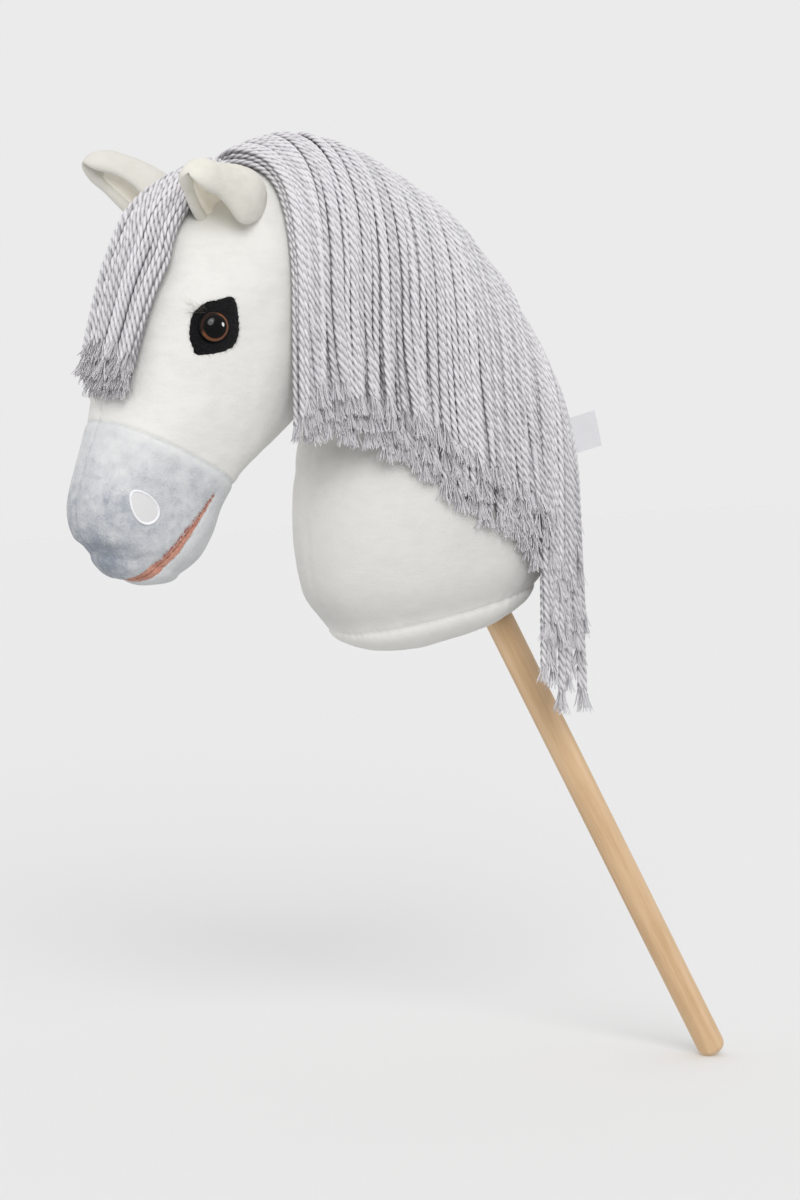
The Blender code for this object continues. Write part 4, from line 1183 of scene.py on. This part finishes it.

# %% [markdown]
# A `Bundle` collects all the cords of a lock in one mesh, because two hundred objects would be
# slow to handle. It stores a lightness for each point, with painted shade in it: dark in the grooves,
# on the side that faces the neck and towards the cord's end, and light on the plies. Each cord gets
# its own lightness, twist and slightly uneven plies.

# %% A bundle of cords
CORD_TONES = (0.76, 0.85, 0.93, 1.0)


def resample(path, spacing):
    """The same path with equal steps, and how far along it each of its points lies."""
    path = np.asarray(path, float)
    reach = np.concatenate([[0], np.cumsum(np.linalg.norm(np.diff(path, axis=0), axis=1))])
    count = max(4, int(reach[-1] / spacing))
    places = np.linspace(0, reach[-1], count)
    return np.stack([np.interp(places, reach, path[:, k]) for k in range(3)], 1), places


class Bundle:
    """Collects cords into one mesh."""

    def __init__(self, seed, brightness):
        self.random, self.brightness = np.random.default_rng(seed), brightness
        self.points, self.faces, self.tones, self.count = [], [], [], 0

    def add_grid(self, points, tones, rows, columns):
        self.faces.append(grid_faces(rows, columns, wrap=True, start=self.count))
        self.points.append(points.reshape(-1, 3))
        self.tones.append(np.asarray(tones).ravel())
        self.count += rows * columns

    def cord(self, path, radius, fray, across=(1, 0, 0)):
        """Adds a cord along the path, with a tassel of length fray. across is the way from cord to
        cord in the lock, which tells a cord's outer side."""
        random = self.random
        path, places = resample(path, RINGS_EVERY)
        run = unit(np.gradient(path, axis=0))
        side = unit(np.cross(run, (0.36, 0.48, 0.8)))
        other = np.cross(run, side)
        phase = random.uniform(0, 2 * math.pi)
        level = random.choice(CORD_TONES) * self.brightness
        twist = phase - 2 * math.pi * places / PITCH * random.uniform(0.93, 1.07)
        angle = SECTION_ANGLES[None] + twist[:, None]
        taper = 1 - 0.55 * bump_at(places[-1] - places, 2.0 * MM)
        taper *= 1 - 0.35 * bump_at(places, 2.0 * MM)
        size = radius * SECTION_RADII[None] * taper[:, None]
        spokes = np.cos(angle)[..., None] * side[:, None] + np.sin(angle)[..., None] * other[:, None]
        ring = path[:, None] + size[..., None] * spokes
        plies = np.repeat(random.normal(0, 0.07, 3), 4)[None]
        facing = (spokes * unit(np.cross(run, across))[:, None]).sum(2)
        # painted shade: darker in the grooves between the plies, lighter on them
        tones = level * (0.40 + 0.60 * GROOVE[None] ** 0.8) + plies + random.normal(0, 0.02, (len(path), 1))
        # painted shade on the side that faces the neck
        tones *= 0.38 + 0.62 * smoothstep(facing, -0.4, 0.55)
        # painted shade: a little darker towards the end, where the cords hang apart with deeper gaps
        tones *= (1 - 0.10 * smoothstep(places / places[-1], 0.3, 0.9))[:, None]
        self.add_grid(ring, tones, len(path), len(SECTION_ANGLES))
        for fibre, light in zip(*tassel(random, path[-1], run[-1], side[-1], other[-1], radius, fray, level)):
            self.add_grid(fibre, light, HAIR_RINGS, 3)

    def make(self, name, **options):
        points, faces, tones = (np.concatenate(part) for part in (self.points, self.faces, self.tones))
        print(name, len(faces), "faces")
        return put(name, points, faces, CORD, closed=False, sharp=0, values={"tone": tones}, **options)


print("lightness of the cords:", CORD_TONES)

# %% [markdown]
# ## The mane
#
# Every cord of the mane is sewn on at the crest, lies over the left side of the neck as far as
# its widest place, and then hangs straight down. Three layers of cords lie over each other, and
# their lengths differ a little, so that the tassels step. The tables have one entry for each of
# the eight locks, from the poll to the back of the neck: where a lock begins and ends along x,
# the lengths of its first and last cord, and how thick it is at the crest and where it hangs.
# A layer has its place in that thickness, from 0 to 1, its shortening, and how many millimetres
# its roots reach over the crest. `STEPPING` multiplies the shortening in each lock, and
# `SCATTER` is how much shorter chance can make a cord.

# %% Measures of the mane
MANE_EDGES = MM * np.array((-497, -457, -417, -377, -337, -297, -259, -219, -191))
MANE_LENGTHS = MM * np.array(((276, 272), (282, 282), (288, 291), (296, 304), (306, 300), (292, 288),
                              (400, 352), (345, 285)))
MANE_ROOT_END, MANE_FLARE = -191 * MM, 19 * MM
MANE_DRIFT = {6: 7 * MM}
MANE_SWEEP = MM * np.array(((-26, -4), (-4, 0), (0, 0), (0, 0), (0, 0), (0, 0), (0, 0), (0, 0)))
# painted light and shade: the front locks are made lighter and the back ones darker, as the light falls on the
# mane
MANE_BRIGHTNESS = np.interp(range(8), (0, 2, 5, 7), (1.06, 1.02, 1.0, 0.96))
CORD_RADIUS, CORD_SPACING, MANE_INSIDE = 2.85 * MM, 5.0 * MM, 3.4 * MM
MANE_CROWN = MM * np.array((23, 22.5, 19.5, 16.5, 16.5, 15, 8.5, 7.5))
MANE_OUTSIDE = MM * np.array((17, 17, 16.4, 16.4, 16.4, 15.5, 14, 12))
STEPPING = (0.85, 0.85, 0.9, 1.0, 1.0, 1.1, 2.9, 2.9)
SCATTER = MM * np.array((4, 5, 6, 6, 8, 12, 60, 60))
LAYERS = ((0.0, 0.0, 6.0), (0.5, 17 * MM, 4.0), (1.0, 35 * MM, 3.0))
print("locks:", len(MANE_LENGTHS), "with cords of up to", round(MANE_LENGTHS.max() / MM), "mm")

# %% [markdown]
# A cloth or hair simulation could find how a cord hangs, but rays are quicker and give the same
# line every time. They go out from inside the neck in steps of four degrees, from the crest
# down. Below the widest place the line goes straight down and keeps clear of what it meets.

# %% Where a cord hangs
def hanging_line(x, length, share, overlap, crown, outside):
    """(y, z) of a cord at this x, from beyond the crest down the left side. share goes from 0,
    on the skin, to 1, on the outside of the mane. crown and outside are the mane's thickness at
    the top and where it hangs."""
    top = SKIN.ray_cast(Vector((x, 0, 1.5)), Vector((0, 0, -1)))[0]
    middle = np.array((0.0, top.z - 45 * MM))
    line = []
    for degrees in range(80, 181, 4):
        direction = np.array((math.cos(math.radians(degrees)), math.sin(math.radians(degrees))))
        start = middle + direction * 0.3
        hit, out, _, _ = SKIN.ray_cast(Vector((x, *start)), Vector((0, *-direction)))
        if hit is not None:
            line.append((hit.y, hit.z, MANE_INSIDE / max(0.6, math.hypot(out.y, out.z))))
    widest, z, inside = min(p[0] for p in line), line[-1][1], line[-1][2]
    while z > line[0][1] - 1.3 * length:
        z -= 6 * MM
        hit = SKIN.ray_cast(Vector((x, -0.3, z)), Vector((0, 1, 0)))[0]
        widest = min(widest, hit.y if hit is not None else widest)
        inside += (MANE_INSIDE - inside) * 0.1
        line.append((widest, z, inside))
    line = np.array(line)
    reach = np.concatenate([[0], np.cumsum(np.linalg.norm(np.diff(line[:, :2], axis=0), axis=1))])
    start = np.interp(-overlap, -line[:8, 0], reach[:8])
    places = np.linspace(start, start + length, 60)
    y, z, inside = (np.interp(places, reach, line[:, k]) for k in range(3))
    run = unit(np.stack([np.gradient(y), np.gradient(z)], 1))
    down = places - start
    low = inside + CORD_RADIUS
    high = np.maximum(np.interp(down, (25 * MM, 110 * MM), (crown, outside)) - CORD_RADIUS, low)
    off = low + (high - low) * share * smoothstep(down, -6 * MM, 12 * MM)
    return np.stack([y + run[:, 1] * off, z - run[:, 0] * off], 1)


print("points of a hanging line:", len(hanging_line(-0.35, 0.28, 0.5, 0.0, MANE_CROWN[3], MANE_OUTSIDE[3])))

# %% [markdown]
# The cords are sewn to a cotton tape along the crest. It is a thin ribbon on the body's surface,
# 12 mm wide wherever it runs. On the real toy it is hidden, and shows when the mane is lifted.

# %% The tape along the crest
TAPE_ROWS, TAPE_HALF, TAPE_HEIGHTS = np.linspace(2.7, 9.4, 160), 6 * MM, (1.9 * MM, 0.2 * MM)
reach = (TAPE_HALF / section_at(TAPE_ROWS)[:, 4]) ** (FULLNESS / 2)
u = reach[:, None] * np.linspace(-1, 1, 9)
v = np.repeat(TAPE_ROWS[:, None], 9, axis=1)
over, under = (skin_at(u, v, np.full(u.shape, height)) for height in TAPE_HEIGHTS)
tape = np.concatenate([over, under[:, ::-1]], axis=1)
put("mane_tape_cotton", tape, tube_faces(*tape.shape[:2]), TAPE,
    body="head", slot="tape", replaces=["mane_tape"])
print("crest tape:", tape.shape[0], "rows")

# %% [markdown]
# Each lock is one bundle. A lock is filled from edge to edge, layer by layer. Chance then gives
# every cord its length, height, sway and lean.

# %% The mane's cords
strands = 0
for number in range(len(MANE_LENGTHS)):
    bundle = Bundle(SEED + number, MANE_BRIGHTNESS[number])
    random = bundle.random
    first, last = MANE_EDGES[number:number + 2]
    final = number == len(MANE_LENGTHS) - 1
    front_low = 5 * MM if number == 0 else 0.0
    spaces = max(2, round((last - first + np.ptp(MANE_SWEEP[number]) / 2) / CORD_SPACING))
    for layer, (height, shorter, overlap) in enumerate(LAYERS):
        for k in range(spaces):
            share = (k + 0.5 + 0.25 * (layer % 2)) / (spaces + 0.2)
            x = first + (last - first) * min(share, 0.985) + random.normal(0, 0.8 * MM)
            length = whole = np.interp(share, (0, 1), MANE_LENGTHS[number])
            step = shorter * STEPPING[number] * (min(1, share * 4) if number == 0 else 1)
            length -= step + random.uniform(0, 7 * MM)
            uneven = 6 * MM * noise.noise(Vector((x / (11 * MM), number, layer)))
            length -= random.uniform(0, 1) ** 1.4 * SCATTER[number] + uneven
            fray = random.uniform(13, 18) * MM
            height_here = height + random.normal(0, 0.09)
            thickness = MANE_CROWN[number] - front_low * (1 - share) ** 2, MANE_OUTSIDE[number]
            rest = length - fray, height_here, overlap * MM, *thickness
            line = hanging_line(min(x, MANE_ROOT_END - 1 * MM), *rest)
            t = np.linspace(0, 1, len(line))
            sweep = np.interp(share, (0, 1), MANE_SWEEP[number])
            early = np.clip(1 - t / 0.28, 0, 1) ** 2
            if sweep:
                line = line + (hanging_line(x + sweep, *rest) - line) * early[:, None]
            reach = t * length / whole
            drift = (MANE_FLARE * share if final else 0.0) * reach**1.3
            drift += MANE_DRIFT.get(number, 0.0) * (1 - share) * reach
            sway = random.normal(0, 2.0 * MM) * t**2
            sway += random.normal(0, 0.7 * MM) * np.sin(t * random.uniform(4, 7) + random.uniform(0, 6))
            lean = abs(random.normal(5 * MM, 4 * MM)) * np.clip((t - 0.62) / 0.38, 0, 1) ** 1.5 * (number < 6)
            path = np.stack([x + drift + lean + sway + sweep * early, line[:, 0], line[:, 1]], 1)
            bundle.cord(path, CORD_RADIUS * random.uniform(0.95, 1.05), fray)
            strands += 1
    cords = bundle.make(f"mane_cords_{number + 1}", slot="cord_grey", replaces=[f"mane_lock_{number + 1}"])
    crest = SKIN.ray_cast(Vector(((first + last) / 2, 0, 1.5)), Vector((0, 0, -1)))[0]
    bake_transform(cords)
print("cords in the mane:", strands)

# %% [markdown]
# ## The forelock
#
# The cords of the forelock start side by side on the poll and fan out down the forehead. They
# lie on the body, so their paths are simply lines over its surface: `FORELOCK_TURNS` says how
# far round the body the two outer cords are at the root, halfway and at the end.

# %% The forelock
FORELOCK_ROWS, FORELOCK_TURNS = (9.6, 13.95), np.array(((-0.22, 0.30), (-0.12, 0.61), (-0.12, 0.54)))
FORELOCK_LAYERS = ((6.0, 0.0, 12), (9.0, 0.22, 13), (12.0, 0.45, 12))
# painted light: the forelock's cords are made lighter against the shade among its densely packed cords
bundle = Bundle(SEED + 40, 1.06)
random = bundle.random
for layer, (off, shorter, count) in enumerate(FORELOCK_LAYERS):
    for k in range(count):
        share = (k + 0.5 + 0.25 * (layer % 2)) / count
        t = np.linspace(0, 1, 60)
        first = FORELOCK_ROWS[0] + 0.05 * layer
        last = FORELOCK_ROWS[1] - 0.16 - shorter * random.uniform(0.5, 1.0) - 0.10 * (k % 3)
        u = np.interp(t, (0, 0.5, 1), [row[0] + (row[1] - row[0]) * share for row in FORELOCK_TURNS])
        u = u + random.normal(0, 0.012) * np.sin(t * 5 + k) * t
        v = first + (last - first) * t
        lift = off * MM + (4.0 + 1.6 * layer) * MM * t**2 + random.normal(0, 0.3 * MM)
        path = skin_at(u, v, lift)
        bundle.cord(path, CORD_RADIUS * random.uniform(0.95, 1.05), random.uniform(13, 18) * MM, across=(0, -1, 0))
cords = bundle.make("forelock_cords", slot="cord_grey", replaces=["forelock"])
roots = skin_at(np.full(2, 0.1), FORELOCK_ROWS[0] + np.array((0.1, 1.0)), np.full(2, 8 * MM))
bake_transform(cords)
print("cords in the forelock:", sum(layer[2] for layer in FORELOCK_LAYERS))

# %% [markdown]
# ## Label
#
# The label is a satin tag, sewn into the seam at the back of the neck by its short side. It is
# two thin sheets of points, joined all round, with a slow wave as held cloth has. The part of it
# inside the seam moves with the head.

# %% The label
LABEL_SIZE, LABEL_ROOT = (50 * MM, 32 * MM), MM * np.array((-171.5, 537.0))
LABEL_RISE, LABEL_SIDE, LABEL_FACES = math.radians(14), 9 * MM, (0.15 * MM, 0.65 * MM)
IN_SEAM = MM * np.array((-17, 0, -4))
along = np.array((math.cos(LABEL_RISE), math.sin(LABEL_RISE)))
up = np.array((-along[1], along[0]))
a, b = np.meshgrid(np.linspace(0, 1, 68), np.linspace(0, 1, 34), indexing="ij")
wave = 1.2 * MM * np.sin(a * math.pi * 1.5) + 0.25 * MM * np.sin(a * 9 + b * 4)
x = LABEL_ROOT[0] + along[0] * a * LABEL_SIZE[0] + up[0] * b * LABEL_SIZE[1]
z = LABEL_ROOT[1] + along[1] * a * LABEL_SIZE[0] + up[1] * b * LABEL_SIZE[1]
layers = np.array([np.stack([x, LABEL_SIDE + wave + lift, z], -1) for lift in LABEL_FACES])
rows, columns = a.shape
faces = [tuple(f) for start in (0, a.size) for f in grid_faces(rows, columns, start=start)]
edge = list(range(columns)) + [r * columns + columns - 1 for r in range(1, rows)]
edge += [(rows - 1) * columns + c for c in range(columns - 2, -1, -1)]
edge += [r * columns for r in range(rows - 2, 0, -1)]
faces += [(i, j, j + a.size, i + a.size) for i, j in zip(edge, edge[1:] + edge[:1])]
label = put("label_tag", layers, faces, SATIN, slot="satin", replaces=["label"])
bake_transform(label)
hidden = layers[:, :1] + IN_SEAM * (1 - a[None, :, :, None])
put("label_fold", hidden, faces, SATIN, body="head", slot="satin")
print("label:", len(faces), "faces")

# %% [markdown]
# ## Hem
#
# Where the pole goes in, the cloth's cut edge is turned under and sewn, which makes a small roll
# round the hole. Rays along the pole find where it meets the base, and the roll follows them.

# %% The hem round the pole
HEM_GAP, HEM_RADIUS, HEM_STITCH = 15.4 * MM, 2 * MM, 0.15 * MM
angles = np.linspace(0, 2 * math.pi, 96, endpoint=False)
sideways = np.array((0.0, 1.0, 0.0))
forwards = np.cross(sideways, POLE_AXIS)
starts = POLE_AXIS * 0.25 + (np.cos(angles)[:, None] * sideways + np.sin(angles)[:, None] * forwards) * HEM_GAP
loop = np.array([SKIN.ray_cast(Vector(start), Vector(POLE_AXIS))[0] for start in starts])
spokes = unit(loop - loop.mean(0))
turns = np.linspace(0, 2 * math.pi, 14, endpoint=False)
thick = (HEM_RADIUS + HEM_STITCH * np.sin(angles * 24))[:, None]
points = np.stack([loop + thick * (spokes * math.cos(t) + POLE_AXIS * math.sin(t)) for t in turns], 1)
put("hem", points, ring_faces(*points.shape[:2]), WHITE, body="head", slot="plush_white",
    values={"grey": np.full(points[..., 0].size, 0.05)})
print("hem:", len(angles), "places round the pole")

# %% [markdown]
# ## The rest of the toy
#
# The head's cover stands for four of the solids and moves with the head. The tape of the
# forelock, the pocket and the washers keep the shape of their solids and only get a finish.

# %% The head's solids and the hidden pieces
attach(head_cover, "head")
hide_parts("neck_head_left", "neck_head_right", "neck_base_panel", "head_stuffing")

for node, finish in (("forelock_tape", TAPE), ("pole_pocket", SATIN),
                     ("eye_washer_left", NYLON), ("eye_washer_right", NYLON)):
    for slot in bpy.data.objects[node].material_slots:
        slot.material = finish
print("carried over from the solids: tapes, pocket and washers")

# %% [markdown]
# ## Camera
#
# A long lens from 3.4 m away, 34 degrees round from the square side view and slightly above,
# draws the toy as a catalogue would. `back` is the way from the toy to the camera. The Standard
# view transform keeps white plush white, where the default one would turn it grey.

# %% The camera
AZIMUTH, ELEVATION, DISTANCE = math.radians(-34), math.radians(5), 3.4
CENTRE = Vector((-0.34109, 0.0, 0.42469))
back = Vector((math.sin(AZIMUTH) * math.cos(ELEVATION), -math.cos(AZIMUTH) * math.cos(ELEVATION),
               math.sin(ELEVATION)))
camera_data = bpy.data.cameras.new("camera")
camera_data.sensor_fit, camera_data.sensor_width, camera_data.sensor_height = "AUTO", 36, 36
camera_data.lens = 120.7
camera = bpy.data.objects.new("camera", camera_data)
camera.location = CENTRE + back * DISTANCE
camera.rotation_euler = back.to_track_quat("Z", "Y").to_euler()
bpy.context.scene.collection.objects.link(camera)
bpy.context.scene.camera = camera
bpy.context.scene.view_settings.view_transform = "Standard"
print("camera:", round(camera_data.lens, 1), "mm lens,", DISTANCE, "m away")

# %% [markdown]
# ## Light
#
# The light is soft and comes from nearly everywhere. A sky that is darker in front than behind
# and above shapes the body, and a broad sun from the front left adds weak, blurred shadows. A
# few softboxes would do the same, but the sky is quicker to render and has no edges.

# %% Sky and sun
SKY_FRONT, SKY_BACK = 0.55, 0.83
SUN_STRENGTH, SUN_SIZE, SUN_FROM = 1.65, math.radians(32), Vector((-0.45, -0.85, 0.50))
world = bpy.data.worlds.new("studio")
world.use_nodes = True
bpy.context.scene.world = world
sky = Finish(world)
split = sky.node("SeparateXYZ", {}, {"Vector": sky.node("TexCoord", output="Generated")}).socket.node
behind, above = (Signal(sky, split.outputs[k]) for k in (1, 2))
backdrop = behind.ramp(-0.45, 0.20).apply("MAXIMUM", above.ramp(0.25, 0.85) * 0.9)
sky.set(Color=sky.mix(backdrop, (SKY_FRONT,) * 3, (SKY_BACK,) * 3))

sun_data = bpy.data.lights.new("key", "SUN")
sun_data.energy, sun_data.angle = SUN_STRENGTH, SUN_SIZE
sun = bpy.data.objects.new("key", sun_data)
sun.rotation_euler = SUN_FROM.to_track_quat("Z", "Y").to_euler()
bpy.context.scene.collection.objects.link(sun)
print("sky from", SKY_FRONT, "to", SKY_BACK, "and a sun of", SUN_STRENGTH)

# %% [markdown]
# An eye looks alive when a lamp is mirrored in it. The law of reflection says where that lamp has
# to be: the way to the camera, mirrored about the glass's normal at the place of the highlight.
# The lamps don't light cloth or wood by themselves, because they are invisible to diffuse rays.

# %% Highlights in the eye
def reflected_lamp(name, offset, size, power, away=1.2):
    """A lamp that only shows as a highlight in the left eye, at this place beside the eye's middle."""
    glass = bpy.data.objects["eye_left_glass"]
    spots = positions(glass)
    beside = spots - spots.mean(axis=0)
    right = Vector((math.cos(AZIMUTH), math.sin(AZIMUTH), 0))
    seen = np.stack([beside @ np.array(right), beside @ np.array(back.cross(right))], 1)
    gap = np.linalg.norm(seen - MM * np.array(offset), axis=1) + (beside @ np.array(back) < 0)
    vertex = glass.data.vertices[int(np.argmin(gap))]
    towards = 2 * vertex.normal * vertex.normal.dot(back) - back
    data = bpy.data.lights.new(name, "AREA")
    data.shape, data.size, data.energy = "DISK", size, power
    light = bpy.data.objects.new(name, data)
    light.location = vertex.co + towards * away
    light.rotation_euler = towards.to_track_quat("Z", "Y").to_euler()
    light.visible_diffuse = False
    bpy.context.scene.collection.objects.link(light)
    print(name, "at", np.round(light.location, 2))


reflected_lamp("glint", (6.2, 2.4), 0.36, 14.0)
reflected_lamp("soft glint", (-2.4, 5.6), 0.5, 3.0)

# %% [markdown]
# ## Floor
#
# A sheet of white paper under the pole's foot catches its shadow. It isn't seen by diffuse or
# glossy rays, so it throws no light back onto the toy and doesn't show in the eyes.

# %% The floor
paper = Finish("paper", 0.95, Specular_IOR_Level=0.1)
fibre = paper.noise(3 * MM, 2.0)
paper.set(Base_Color=paper.mix(fibre, paint(231, 231, 231), paint(234, 234, 234)))
bpy.ops.mesh.primitive_grid_add(x_subdivisions=2, y_subdivisions=2, size=12, location=(0, 0, -0.0031))
floor = bpy.context.object
floor.name = "floor"
floor.data.materials.append(paper.material)
floor.visible_diffuse = floor.visible_glossy = False
print("floor:", tuple(round(length, 1) for length in floor.dimensions[:2]), "m")
